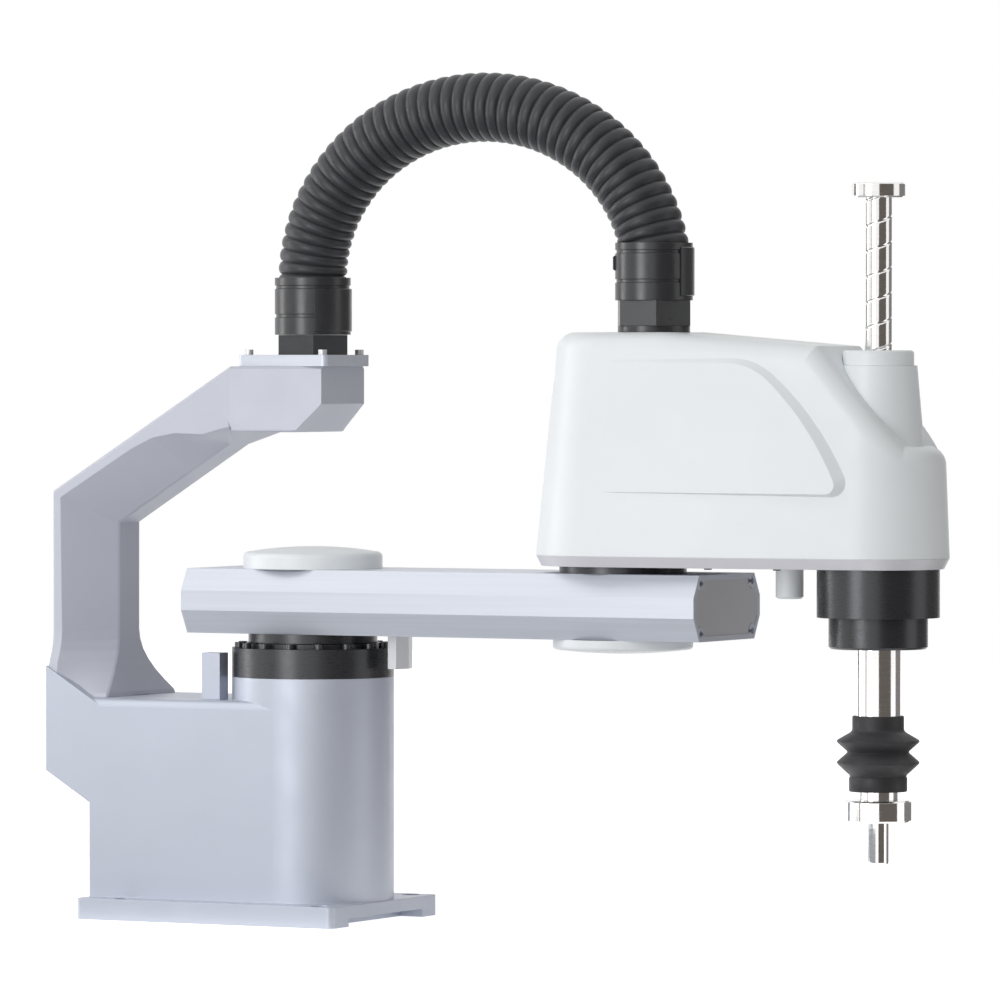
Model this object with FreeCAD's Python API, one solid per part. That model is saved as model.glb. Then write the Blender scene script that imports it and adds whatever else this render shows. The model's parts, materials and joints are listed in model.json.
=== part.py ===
"""SCARA robot: a bolted base, two horizontal arms and a quill that slides and turns, in millimetres.

The origin is where the axis of joint 1 meets the mounting plane. +X runs along the straightened arms
to the quill, +Z is up, and the cable neck stands behind the column at -X.
"""
import FreeCAD, Part
import math
import os

V = FreeCAD.Vector
UP = V(0, 0, 1)

# Axes of the arms
ARM_1_LENGTH = 335.0
ARM_2_LENGTH = 265.0
J2_X = ARM_1_LENGTH
J3_X = ARM_1_LENGTH + ARM_2_LENGTH

# Clearances
SEAT_GAP = 0.3
RUN_FIT = 0.05
TOUCH_GAP = 0.5
EDGE_BREAK = 2.0
CUT_OVER = 1.0

# Base casting
PLATE_BACK = -204.0
PLATE_FRONT = 80.0
PLATE_HALF = 105.0
PLATE_T = 20.0
PLATE_CORNER = 7.0
FOOT_RELIEF = 8.0
FOOT_WIDTH = 32.0
RELIEF_DEPTH = 24.0
BOLT_INSET_BACK = 46.0
BOLT_INSET_FRONT = 22.0
BOLT_INSET_SIDE = 15.0
BOLT_R = 5.5
BOLT_SINK_R = 9.0
BOLT_SINK = 5.0
BOLT_BACK = PLATE_BACK + BOLT_INSET_BACK
BOLT_FRONT = PLATE_FRONT - BOLT_INSET_FRONT
BOLT_HALF = PLATE_HALF - BOLT_INSET_SIDE
COLUMN_R = 78.0
COLUMN_TOP = 234.0
BOX_STEP = 22.0
BOX_BACK = PLATE_BACK
BOX_TOP = COLUMN_TOP - BOX_STEP
BOX_FILLET = 8.0
BULGE_REACH = 49.0
BULGE_HEIGHT = 101.0
BULGE_CHAMFER = 30.0
BULGE_RISE = 30.0
BULGE_BACK = BOX_BACK - BULGE_REACH
BULGE_LOW = BOX_TOP - BULGE_HEIGHT
BASE_WALL = 8.0
BASE_ROOF = 14.0
BASE_FLOOR = 10.0
REDUCER_BORE_R = 45.0
GLAND_SIDE = 30.0

# Connector panel in the back of the bulge
PANEL_HALF = 60.0
PANEL_MARGIN = 8.0
PANEL_HEIGHT = 84.0
PANEL_T = 3.0
PANEL_LEDGE = 6.0
PANEL_FIT = 0.3
PANEL_HIGH = BOX_TOP + BULGE_RISE - PANEL_MARGIN
PANEL_LOW = PANEL_HIGH - PANEL_HEIGHT
SOCKET_DEPTH = 24.0
SOCKET_WALL = 2.5
SOCKET_LIP = 1.0
SOCKET_DROP = 26.0
POWER_SIZE = (34.0, 22.0)
SIGNAL_SIZE = (46.0, 16.0)
POWER_Y = -32.0
SIGNAL_Y = 26.0
SOCKET_Z = PANEL_HIGH - SOCKET_DROP
AIR_R = 6.0
AIR_BORE_R = 3.0
AIR_RISE = 22.0
AIR_Z = PANEL_LOW + AIR_RISE
AIR_PITCH = 30.0
AIR_COUNT = 2

# Cable neck
NECK_BACK_HALF = 66.0
NECK_FRONT_HALF = 19.0
NECK_WIDTH = 48.0
NECK_FRONT = BULGE_BACK + NECK_WIDTH
NECK_STRIP = 11.0
NECK_ELBOW_OUT_Z = 411.0
NECK_ELBOW_DROP = 31.0
NECK_TOP = 532.0
NECK_DEPTH = 63.0
NECK_UNDER = NECK_TOP - NECK_DEPTH
NECK_BEND_X = -58.0
NECK_BEND_HALF = 60.0
NECK_FADE = ((0.42, 11.0), (0.53, 14.0), (0.63, 23.0), (0.74, 40.0))
NECK_FULL = 0.87
NECK_EDGE = 2.5
NECK_TIP_HALF = 42.0
NECK_TIP_CHAMFER = 27.0
NECK_WALL = 6.0
FLARE_RISE = 64.0
FLARE_TOP = BOX_TOP + FLARE_RISE
FLARE_STEPS = 7
FLARE_BACK_HALF = 76.0
FLARE_FRONT_HALF = 68.0
FLARE_REACH = 15.0
FLARE_TURN = 70.0
NECK_PLATE_T = 11.0
NECK_PLATE_LENGTH = 97.0
NECK_PLATE_LIP = 6.0
NECK_PLATE_HALF = 44.0
NECK_PLATE_CORNER = 5.0
NECK_PLATE_BACK = NECK_BEND_X
NECK_PLATE_FRONT = NECK_PLATE_BACK + NECK_PLATE_LENGTH
NECK_TIP_X = NECK_PLATE_FRONT - NECK_PLATE_LIP
PLATE_SCREW_INSET = 8.0
M5_HEAD_R = 4.25
M5_HEAD = 5.0
HEX_SOCKET_R = 2.3
HEX_SOCKET_DEPTH = 2.5

# Joint 1
RING_H = 33.0
RING_TOP = COLUMN_TOP + RING_H
RING_R = 78.0
RING_BORE_R = 56.0
RING_LIP = 3.0
RING_SCREW_COUNT = 16
RING_SCREW_INSET = 7.0
J1_BEARING_IN_R = 48.0
J1_BEARING_RISE = 6.0
J1_BEARING_H = 22.0
J1_BEARING_LOW = COLUMN_TOP + J1_BEARING_RISE
J1_HUB_R = 62.0
J1_HUB_H = 9.0
J1_REDUCER_FLANGE = 4.0
J1_REDUCER_H = 42.0
J1_REDUCER_LOW = COLUMN_TOP - J1_REDUCER_H
J1_MOTOR_HALF = 40.0
J1_MOTOR_H = 130.0
STOP_BLOCK_X = -80.0
STOP_BLOCK_Y = 50.0
STOP_BLOCK_L = 20.0
STOP_BLOCK_W = 16.0
STOP_BLOCK_GAP = 19.0
STOP_BRACKET_IN = 91.0
STOP_BRACKET_T = 14.0
STOP_BRACKET_RIDGE = 5.0
STOP_BRACKET_HALF = 16.0
STOP_BRACKET_H = 33.0

# Arm 1, an extruded profile with faceted sides
ARM_1_LOW = RING_TOP + J1_HUB_H
ARM_1_HEIGHT = 62.0
ARM_1_HIGH = ARM_1_LOW + ARM_1_HEIGHT
ARM_1_REAR_REACH = 106.0
ARM_1_FRONT_REACH = 109.0
ARM_1_BACK = -ARM_1_REAR_REACH
ARM_1_FRONT = J2_X + ARM_1_FRONT_REACH
ARM_1_FLAT_HALF = 58.0
ARM_1_BELLY_HALF = 70.0
ARM_1_LOWER_FACET = 22.0
ARM_1_UPPER_FACET = 21.0
ARM_1_WALL = 5.0
ARM_1_PORT_R = 6.5
ARM_1_PORT_BORE_R = 3.2
ARM_1_PORT_SLOT = 2.6
ARM_1_PORT_INSET = 7.5
END_PLATE_T = 5.0
END_PLATE_INSET = 1.0
END_PLATE_FIT = 0.3
STOP_BRACKET_LOW = ARM_1_LOW - STOP_BRACKET_H
STOP_BLOCK_TOP = ARM_1_LOW - STOP_BLOCK_GAP
TOP_CAP_R = 67.0
TOP_CAP_RIM = 16.0
TOP_CAP_CROWN = 5.0
BOTTOM_CAP_R = 66.0
BOTTOM_CAP_RIM = 10.0
BOTTOM_CAP_CROWN = 4.0
CAP_WALL = 3.0

# Joint 2
J2_HUB_R = 60.0
J2_HUB_H = 7.0
ARM_2_LOW = ARM_1_HIGH + J2_HUB_H
J2_SPIGOT_R = 40.0
J2_SPIGOT_H = 23.0
J2_SPIGOT_TOP = ARM_2_LOW + J2_SPIGOT_H
J2_BEARING_R = 52.0
J2_BEARING_RISE = 2.0
J2_BEARING_H = 18.0
J2_BEARING_LOW = ARM_2_LOW + J2_BEARING_RISE
J2_BOSS_R = 62.0
J2_FLANGE_T = 6.0
J2_REDUCER_R = 54.0
J2_REDUCER_H = 32.0
J2_MOTOR_HALF = 35.0
J2_MOTOR_H = 98.0
J2_STOP_REACH = 174.0
J2_STOP_R = 13.0
J2_STOP_H = 29.0

# Arm 2
ARM_2_BEVEL = 10.0
ARM_2_BEVEL_IN = 5.0
ARM_2_REAR_R = 82.0
ARM_2_FRONT_R = 66.0
COVER_LOW = ARM_2_LOW + ARM_2_BEVEL
COVER_HEIGHT = 209.0
COVER_TOP = COVER_LOW + COVER_HEIGHT
COVER_REAR_TOP_R = 61.0
COVER_FRONT_TOP_R = 58.0
COVER_WALL = 3.0
COVER_FILLET = 18.0
COVER_INNER_STEP = 10.0
SLOPE_START = 65.0
SLOPE_END = 40.0
SLOPE_DROP = 13.0
BONNET_REACH = 40.0
BONNET_DROP = 105.0
NOSE_DROP = 6.0
PAD_OUT = 8.5
PAD_SINK = 0.5
PAD_RISE = 59.5
PAD_LIP = 3.0
PAD_TOP = 173.0
PAD_TOP_R = 60.0
PAD_CORNER_R = 8.0
PAD_ARC_R = 265.0
PAD_ARC_BACK = 250.0
PAD_ARC_DROP = 48.0
PAD_FACE_HALF = 73.0
PAD_BEVEL_SPAN = 12.0
TOWER_R = 36.0
TOWER_FOOT_R = 44.0
TOWER_CAP_STEP = 3.0
TOWER_CAP_FIT = 0.4
TOWER_TOP_DROP = 17.0
TOWER_CAP_H = 14.0
TOWER_TOP = COVER_TOP - TOWER_TOP_DROP
TOWER_SEAM = TOWER_TOP - TOWER_CAP_H
TOWER_BORE_R = 13.5

# Nut housing and drive of the quill
HOUSING_R = 57.0
HOUSING_H = 45.0
HOUSING_STEP = ARM_2_LOW - HOUSING_H
HOUSING_NOSE_R = 46.0
HOUSING_NOSE_H = 29.0
HOUSING_LOW = HOUSING_STEP - HOUSING_NOSE_H
HOUSING_NECK_R = 50.0
HOUSING_NECK_H = 35.0
HOUSING_BORE_R = 22.5
HOUSING_HIGH = ARM_2_LOW + HOUSING_NECK_H
SPLINE_BEARING_R = 34.0
SPLINE_BEARING_IN_R = 24.0
SPLINE_BEARING_H = 18.0
SPLINE_BEARING_LOW = HOUSING_HIGH - SPLINE_BEARING_H
SPLINE_NUT_R = 20.0
SPLINE_FLANGE_R = 32.0
SPLINE_FLANGE_T = 6.0
PULLEY_H = 14.0
PULLEY_GAP = 10.0
FLANGE_T = 1.5
FLANGE_RISE = 1.5
BELT_T = 2.2
BELT_GAP = 0.3
MOTOR_REACH = 100.0
MOTOR_X = J3_X - MOTOR_REACH
MOTOR_Y = 34.0
MOTOR_HALF = 24.0
MOTOR_H = 78.0
MOTOR_PULLEY_R = 14.0
MOTOR_SHAFT_R = 5.0
MOTOR_BEVEL = 5.0
POST_H = 85.0
DRIVE_PLATE_Z = COVER_LOW + POST_H
DRIVE_PLATE_T = 8.0
DRIVE_PLATE_EDGE = 1.0
POST_R = 5.5
POST_FRONT_REACH = 40.0
POST_FRONT_X = J3_X - POST_FRONT_REACH
POST_FRONT_Y = 48.0
POST_REAR_REACH = 38.0
POST_REAR_X = MOTOR_X - POST_REAR_REACH
POST_REAR_Y = 44.0
J4_PULLEY_R = 30.0
J4_PULLEY_RISE = 4.0
J4_PULLEY_Z = DRIVE_PLATE_Z + DRIVE_PLATE_T + J4_PULLEY_RISE
J3_PULLEY_R = 27.0
J3_PULLEY_Z = J4_PULLEY_Z + PULLEY_H + PULLEY_GAP
SCREW_NUT_R = 20.0
SCREW_NUT_DROP = 5.0
SCREW_NUT_LOW = J3_PULLEY_Z - SCREW_NUT_DROP
SCREW_NUT_H = 45.0
SCREW_BEARING_R = 29.0
SCREW_BEARING_RISE = 7.0
SCREW_BEARING_H = 12.0
SCREW_BEARING_LOW = J3_PULLEY_Z + PULLEY_H + SCREW_BEARING_RISE
BRACKET_RING_R = 31.5

# Quill
SHAFT_R = 12.5
SHAFT_STROKE_UP = 155.0
SHAFT_TOP = TOWER_TOP + SHAFT_STROKE_UP
COLLAR_R = 25.0
COLLAR_T = 14.0
COLLAR_BREAK = 1.5
TUBE_R = 21.0
TUBE_HIDDEN = 29.0
TUBE_TOP = HOUSING_LOW + TUBE_HIDDEN
TIP_R = 10.0
TIP_LOW = 70.0
TIP_H = 41.0
TIP_ROUND = 4.0
BOTTOM_COLLAR_R = 31.5
BOTTOM_COLLAR_LOW = TIP_LOW + TIP_H
BOTTOM_COLLAR_H = 20.0
BOTTOM_COLLAR_HIGH = BOTTOM_COLLAR_LOW + BOTTOM_COLLAR_H
WASHER_R = 18.5
WASHER_T = 8.0
BELLOWS_LOW = BOTTOM_COLLAR_HIGH + WASHER_T
BELLOWS_WALL = 1.0
BELLOWS_CUFF_H = 13.0
BELLOWS_FOOT_R = 27.0
BELLOWS_ROOT_R = 28.5
BELLOWS_FOLD_R = 38.4
BELLOWS_FOLD_H = 19.5
BELLOWS_FOLDS = 2
BELLOWS_CREST = 2.0
BELLOWS_NECK_H = 14.0
TUBE_LOW = BELLOWS_LOW + BELLOWS_WALL

# Cable duct and its fittings
DUCT_FRONT_REACH = 32.5
DUCT_FRONT_X = J2_X + DUCT_FRONT_REACH
DUCT_RISE = 163.0
DUCT_SINK = 2.0
DUCT_SEAT = 8.0
DUCT_CREST_R = 33.0
DUCT_VALLEY_R = 30.0
DUCT_BORE_R = 27.0
DUCT_RIBS = 40
REAR_NUT_H = 19.0
SLEEVE_REAR_H = 55.0
FRONT_FLANGE_H = 6.0
FRONT_NUT_H = 24.0
SLEEVE_FRONT_H = 54.0
REAR_NUT_TOP = NECK_TOP + NECK_PLATE_T + REAR_NUT_H
REAR_SLEEVE_TOP = REAR_NUT_TOP + SLEEVE_REAR_H
FRONT_FLANGE_TOP = COVER_TOP + FRONT_FLANGE_H
FRONT_NUT_TOP = FRONT_FLANGE_TOP + FRONT_NUT_H
FRONT_SLEEVE_TOP = FRONT_NUT_TOP + SLEEVE_FRONT_H
DUCT_CENTRE_Z = REAR_SLEEVE_TOP - DUCT_SINK
SLEEVE_R = 36.5
SLEEVE_BORE_R = 35.0
SLEEVE_GROOVE = 1.2
SLEEVE_BAND = 3.3
SLEEVE_BAND_LOW = 16.5
SLEEVE_BAND_HIGH = 44.0
SLEEVE_FLOOR = 4.0
NUT_FLATS = 66.0
FRONT_FLANGE_R = 34.0


def cylinder(radius, low, high, x=0.0, y=0.0):
    """A vertical cylinder between two heights."""
    return Part.makeCylinder(radius, high - low, V(x, y, low))


def ring(outer, inner, low, high, x=0.0, y=0.0):
    """A vertical tube between two heights."""
    return cylinder(outer, low, high, x, y).cut(cylinder(inner, low, high, x, y))


def block(x0, x1, y0, y1, z0, z1):
    """A box between two corners."""
    return Part.makeBox(x1 - x0, y1 - y0, z1 - z0, V(x0, y0, z0))


def turned(profile, x=0.0):
    """Turns a closed outline of radius and height about the vertical axis through x."""
    points = [V(x + radius, 0, height) for radius, height in profile]
    face = Part.Face(Part.makePolygon(points + points[:1]))
    return face.revolve(V(x, 0, 0), UP, 360)


def slab(side, half):
    """Extrudes a closed side outline of x and z to both sides of the middle plane."""
    points = [V(x, -half, z) for x, z in side]
    return Part.Face(Part.makePolygon(points + points[:1])).extrude(V(0, 2 * half, 0))


def rounded_plate(x0, x1, half, z0, z1, corner):
    """A flat plate with rounded upright corners."""
    plate = block(x0, x1, -half, half, z0, z1)
    upright = [edge for edge in plate.Edges if abs(edge.tangentAt(edge.FirstParameter).z) > 0.99]
    return plate.makeFillet(corner, upright)


def hull_wire(x_a, y_a, r_a, x_b, y_b, r_b, z):
    """Two circles joined by their outer tangents, as one wire."""
    heading = math.atan2(y_b - y_a, x_b - x_a)
    spread = math.acos((r_a - r_b) / math.hypot(x_b - x_a, y_b - y_a))

    def on_a(angle):
        return V(x_a + r_a * math.cos(angle), y_a + r_a * math.sin(angle), z)

    def on_b(angle):
        return V(x_b + r_b * math.cos(angle), y_b + r_b * math.sin(angle), z)

    left, right = heading + spread, heading - spread
    edges = [
        Part.Arc(on_a(left), on_a(heading + math.pi), on_a(right)).toShape(),
        Part.LineSegment(on_a(right), on_b(right)).toShape(),
        Part.Arc(on_b(right), on_b(heading), on_b(left)).toShape(),
        Part.LineSegment(on_b(left), on_a(left)).toShape(),
    ]
    return Part.Wire(edges)


def arm_hull(r_rear, r_front, z):
    """The outline of arm 2 round its two axes."""
    return hull_wire(J2_X, 0, r_rear, J3_X, 0, r_front, z)


def hexagon(flats, low, high, x=0.0):
    """A hexagonal prism by its width across flats."""
    corner_r = flats / math.sqrt(3)
    points = [V(x + corner_r * math.cos(math.pi * k / 3), corner_r * math.sin(math.pi * k / 3), low)
              for k in range(7)]
    return Part.Face(Part.makePolygon(points)).extrude(V(0, 0, high - low))


def cap_screw(x, y, seat):
    """The head of a socket cap screw that stands on a seat."""
    head = cylinder(M5_HEAD_R, seat, seat + M5_HEAD, x, y)
    socket = hexagon(2 * HEX_SOCKET_R, seat + M5_HEAD - HEX_SOCKET_DEPTH, seat + M5_HEAD)
    return head.cut(socket.translated(V(x, y, 0)))


def base_outline(inset=0.0):
    """Side outline of the box behind the column, with the bulge that holds the sockets."""
    back = BULGE_BACK + inset
    box_back = BOX_BACK + inset
    low = BASE_FLOOR if inset else PLATE_T
    roof = BOX_TOP - BASE_ROOF if inset else BOX_TOP
    return [
        (0, low),
        (box_back, low),
        (box_back, BULGE_LOW + inset / 2),
        (back, BULGE_LOW + BULGE_CHAMFER + inset / 2),
        (back, BOX_TOP + BULGE_RISE - inset),
        (box_back, roof),
        (0, roof),
    ]


def base_block():
    """The closed outer form above the foot plate."""
    box = slab(base_outline(), COLUMN_R)
    rims = [edge for edge in box.Edges
            if abs(edge.BoundBox.ZMin - BOX_TOP) < 0.01 and edge.BoundBox.ZLength < 0.01
            and edge.BoundBox.YLength < 0.01]
    return box.makeFillet(BOX_FILLET, rims).fuse(cylinder(COLUMN_R, PLATE_T, COLUMN_TOP))


def foot_plate():
    """The plate that bolts down, relieved between its feet."""
    plate = rounded_plate(PLATE_BACK, PLATE_FRONT, PLATE_HALF, 0, PLATE_T, PLATE_CORNER)
    gap = PLATE_HALF - FOOT_WIDTH
    plate = plate.cut(block(PLATE_FRONT - RELIEF_DEPTH, PLATE_FRONT, -gap, gap, 0, FOOT_RELIEF))
    for x in (BOLT_BACK, BOLT_FRONT):
        for y in (-BOLT_HALF, BOLT_HALF):
            plate = plate.cut(cylinder(BOLT_R, 0, PLATE_T, x, y))
            plate = plate.cut(cylinder(BOLT_SINK_R, PLATE_T - BOLT_SINK, PLATE_T, x, y))
    return plate


def base_casting():
    """Foot plate, column and socket box in one hollow casting."""
    cavity = slab(base_outline(BASE_WALL), COLUMN_R - BASE_WALL)
    cavity = cavity.fuse(cylinder(COLUMN_R - BASE_WALL, BASE_FLOOR, BOX_TOP - BASE_ROOF))
    body = foot_plate().fuse(base_block()).cut(cavity)
    body = body.cut(cylinder(REDUCER_BORE_R, BOX_TOP - BASE_ROOF, COLUMN_TOP))
    body = body.cut(block(BULGE_BACK, BULGE_BACK + PANEL_T, -PANEL_HALF, PANEL_HALF, PANEL_LOW, PANEL_HIGH))
    window = PANEL_HALF - PANEL_LEDGE
    body = body.cut(block(BULGE_BACK, BULGE_BACK + BASE_WALL, -window, window,
                          PANEL_LOW + PANEL_LEDGE, PANEL_HIGH - PANEL_LEDGE))
    gland = block(BOX_BACK - GLAND_SIDE / 2, BOX_BACK + GLAND_SIDE / 2,
                  -GLAND_SIDE / 2, GLAND_SIDE / 2, BOX_TOP - BASE_ROOF - 1, BOX_TOP + BULGE_RISE)
    return body.cut(gland).removeSplitter()


def neck_section(outer, inner, outer_half, inner_half, strip, inset):
    """One cross-section of the neck: a straight strip behind, then flanks that taper forwards."""
    span = math.hypot(inner[0] - outer[0], inner[1] - outer[1])
    unit = ((inner[0] - outer[0]) / span, (inner[1] - outer[1]) / span)

    def at(depth, half):
        return V(outer[0] + unit[0] * depth, half, outer[1] + unit[1] * depth)

    wide = outer_half - inset
    narrow = inner_half - inset / 2
    edge = NECK_EDGE - inset / NECK_WALL
    front = span - inset
    knee = min(strip, front - edge)
    side = [at(inset, wide - edge), at(inset + edge, wide), at(knee, wide),
            at(front - edge / 2, narrow + edge / 2), at(front, narrow - edge / 2)]
    points = side + [V(point.x, -point.y, point.z) for point in reversed(side)]
    return Part.makePolygon(points + points[:1])


def flare_share(drop, height):
    """How far a concave flare has opened at a depth under its start, from 0 to 1."""
    turn = math.radians(FLARE_TURN)
    return (1 - math.cos(turn * min(drop / height, 1.0))) / (1 - math.cos(turn))


def flare_stations():
    """Stations of the foot, which opens in width and a little forwards."""
    stations = []
    bottom = BOX_TOP - NECK_WALL
    for step in range(FLARE_STEPS + 1):
        z = bottom + (FLARE_TOP - bottom) * step / FLARE_STEPS
        front = flare_share(FLARE_TOP - z, FLARE_RISE)
        back = flare_share(FLARE_TOP - z, FLARE_RISE - BULGE_RISE)
        stations.append(((BULGE_BACK, z), (NECK_FRONT + FLARE_REACH * front, z),
                         NECK_BACK_HALF + (FLARE_BACK_HALF - NECK_BACK_HALF) * back,
                         NECK_FRONT_HALF + (FLARE_FRONT_HALF - NECK_FRONT_HALF) * front, NECK_STRIP))
    return stations


def rise_station(share, strip, inner_half):
    """A station across the rising part of the neck, at a share of the way to the upper bend."""
    run = NECK_BEND_X - BULGE_BACK
    slope = (NECK_TOP - NECK_ELBOW_OUT_Z) / run
    angle = math.atan(slope)
    x = BULGE_BACK + run * share
    z = NECK_ELBOW_OUT_Z + slope * run * share
    depth = (z - NECK_ELBOW_OUT_Z + NECK_ELBOW_DROP - slope * (x - NECK_FRONT)) * math.cos(angle)
    half = NECK_BACK_HALF + (NECK_BEND_HALF - NECK_BACK_HALF) * share
    inner = (x + depth * math.sin(angle), z - depth * math.cos(angle))
    return (x, z), inner, half, inner_half or half, strip


def neck_stations():
    """Outer and inner points of the neck with its half widths and strip, from the foot to the tip."""
    stations = flare_stations()
    stations.append(((BULGE_BACK, NECK_ELBOW_OUT_Z), (NECK_FRONT, NECK_ELBOW_OUT_Z - NECK_ELBOW_DROP),
                     NECK_BACK_HALF, NECK_FRONT_HALF, NECK_STRIP))
    stations += [rise_station(share, strip, NECK_FRONT_HALF) for share, strip in NECK_FADE]
    stations.append(rise_station(NECK_FULL, NECK_DEPTH, None))
    for x, half in ((NECK_BEND_X, NECK_BEND_HALF), (NECK_TIP_X, NECK_TIP_HALF)):
        stations.append(((x, NECK_TOP), (x, NECK_UNDER), half, half, NECK_DEPTH))
    return stations


def neck_form(inset):
    """The neck as a loft through its stations, each moved in by the same wall."""
    return Part.makeLoft([neck_section(*station, inset) for station in neck_stations()], True, True)


def neck_tip_cut(wall):
    """What is cut from the neck's tip: the wall behind its end face, and a slope under it."""
    low = NECK_UNDER - CUT_OVER
    start = NECK_TIP_X - NECK_TIP_CHAMFER - wall - CUT_OVER
    end = NECK_TIP_X + CUT_OVER
    high = NECK_UNDER + NECK_TIP_CHAMFER + wall + CUT_OVER
    wedge = slab([(start, low), (end, low), (end, high)], NECK_BACK_HALF)
    return wedge.fuse(block(NECK_TIP_X - wall, end, -NECK_BACK_HALF, NECK_BACK_HALF, low, NECK_TOP))


def cable_neck():
    """Hollow gooseneck that carries the cables from the base up over joint 1."""
    hollow = neck_form(NECK_WALL).cut(neck_tip_cut(NECK_WALL))
    body = neck_form(0).cut(neck_tip_cut(0)).cut(base_block()).cut(hollow)
    return body.cut(cylinder(DUCT_BORE_R, NECK_TOP - NECK_WALL - CUT_OVER, NECK_TOP)).removeSplitter()


def neck_top_plate():
    """Flat plate on the neck's tip that the duct fitting screws into."""
    plate = rounded_plate(NECK_PLATE_BACK, NECK_PLATE_FRONT, NECK_PLATE_HALF,
                          NECK_TOP, NECK_TOP + NECK_PLATE_T, NECK_PLATE_CORNER)
    return plate.cut(cylinder(DUCT_BORE_R, NECK_TOP, NECK_TOP + NECK_PLATE_T))


def neck_plate_screws():
    """Four cap screws at the plate's corners."""
    x_back = NECK_PLATE_BACK + PLATE_SCREW_INSET
    x_front = NECK_PLATE_FRONT - PLATE_SCREW_INSET
    y_side = NECK_PLATE_HALF - PLATE_SCREW_INSET
    return Part.makeCompound([cap_screw(x, y, NECK_TOP + NECK_PLATE_T)
                              for x in (x_back, x_front) for y in (-y_side, y_side)])


def connector_panel():
    """Sheet panel let into the back of the bulge, with cut-outs for the sockets."""
    fit = PANEL_FIT
    plate = block(BULGE_BACK, BULGE_BACK + PANEL_T, -PANEL_HALF + fit, PANEL_HALF - fit,
                  PANEL_LOW + fit, PANEL_HIGH - fit)
    for y, size in ((POWER_Y, POWER_SIZE), (SIGNAL_Y, SIGNAL_SIZE)):
        plate = plate.cut(block(BULGE_BACK, BULGE_BACK + PANEL_T, y - size[0] / 2, y + size[0] / 2,
                                SOCKET_Z - size[1] / 2, SOCKET_Z + size[1] / 2))
    for y in air_places():
        plate = plate.cut(Part.makeCylinder(AIR_R, PANEL_T, V(BULGE_BACK, y, AIR_Z), V(1, 0, 0)))
    return plate


def air_places():
    """Where the air fittings stand in their row."""
    return [AIR_PITCH * (k - (AIR_COUNT - 1) / 2) for k in range(AIR_COUNT)]


def socket_shell(y, size):
    """A rectangular socket with an open mouth at the panel."""
    front = BULGE_BACK - SOCKET_LIP
    shell = block(front, front + SOCKET_DEPTH, y - size[0] / 2, y + size[0] / 2,
                  SOCKET_Z - size[1] / 2, SOCKET_Z + size[1] / 2)
    mouth = block(front, front + SOCKET_DEPTH - SOCKET_WALL,
                  y - size[0] / 2 + SOCKET_WALL, y + size[0] / 2 - SOCKET_WALL,
                  SOCKET_Z - size[1] / 2 + SOCKET_WALL, SOCKET_Z + size[1] / 2 - SOCKET_WALL)
    return shell.cut(mouth)


def air_fittings():
    """A row of bulkhead fittings for air tubes."""
    front = BULGE_BACK - SOCKET_LIP
    fittings = []
    for y in air_places():
        body = Part.makeCylinder(AIR_R, SOCKET_DEPTH, V(front, y, AIR_Z), V(1, 0, 0))
        fittings.append(body.cut(Part.makeCylinder(AIR_BORE_R, SOCKET_DEPTH, V(front, y, AIR_Z), V(1, 0, 0))))
    return Part.makeCompound(fittings)


def joint_1_ring():
    """Bolted ring on the column that clamps the bearing, with a recessed upper face."""
    seat = RING_TOP - M5_HEAD
    body = ring(RING_R, RING_BORE_R, COLUMN_TOP, seat)
    return body.fuse(ring(J1_HUB_R + RING_LIP, RING_BORE_R, seat, RING_TOP - TOUCH_GAP)).removeSplitter()


def joint_1_ring_screws():
    """Cap screws round the ring."""
    seat = RING_TOP - M5_HEAD
    places = [2 * math.pi * (k + 0.5) / RING_SCREW_COUNT for k in range(RING_SCREW_COUNT)]
    circle = RING_R - RING_SCREW_INSET
    return Part.makeCompound([cap_screw(circle * math.cos(a), circle * math.sin(a), seat) for a in places])


def joint_1_bearing():
    """Crossed-roller bearing between the ring and the turning hub."""
    return ring(RING_BORE_R, J1_BEARING_IN_R, J1_BEARING_LOW, J1_BEARING_LOW + J1_BEARING_H)


def joint_1_hub():
    """Output hub under arm 1, with the spigot that runs in the bearing."""
    spigot = J1_BEARING_IN_R - RUN_FIT
    low = COLUMN_TOP + J1_REDUCER_FLANGE + TOUCH_GAP
    return turned([(0, low), (spigot, low), (spigot, RING_TOP), (J1_HUB_R, RING_TOP),
                   (J1_HUB_R, ARM_1_LOW), (0, ARM_1_LOW)])


def joint_1_reducer():
    """Strain wave gear unit, hung by its flange on the column's top face."""
    body_r = REDUCER_BORE_R - PANEL_FIT
    flange_r = RING_BORE_R - PANEL_FIT
    return turned([(0, J1_REDUCER_LOW), (body_r, J1_REDUCER_LOW), (body_r, COLUMN_TOP),
                   (flange_r, COLUMN_TOP), (flange_r, COLUMN_TOP + J1_REDUCER_FLANGE),
                   (0, COLUMN_TOP + J1_REDUCER_FLANGE)])


def servo_motor(x, y, half, low, high, shaft_top):
    """A square servo motor with its flange and shaft upwards."""
    body = block(x - half, x + half, y - half, y + half, low, high)
    upright = [edge for edge in body.Edges if abs(edge.tangentAt(edge.FirstParameter).z) > 0.99]
    body = body.makeChamfer(MOTOR_BEVEL, upright)
    if shaft_top > high:
        body = body.fuse(cylinder(MOTOR_SHAFT_R, high, shaft_top, x, y))
    return body


def stop_blocks():
    """Two blocks on the base that stop arm 1 at either side."""
    blocks = []
    for side in (-1, 1):
        y = side * STOP_BLOCK_Y
        body = block(STOP_BLOCK_X - STOP_BLOCK_L / 2, STOP_BLOCK_X + STOP_BLOCK_L / 2,
                     y - STOP_BLOCK_W / 2, y + STOP_BLOCK_W / 2, BOX_TOP, STOP_BLOCK_TOP)
        blocks.append(body)
    return Part.makeCompound(blocks)


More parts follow.
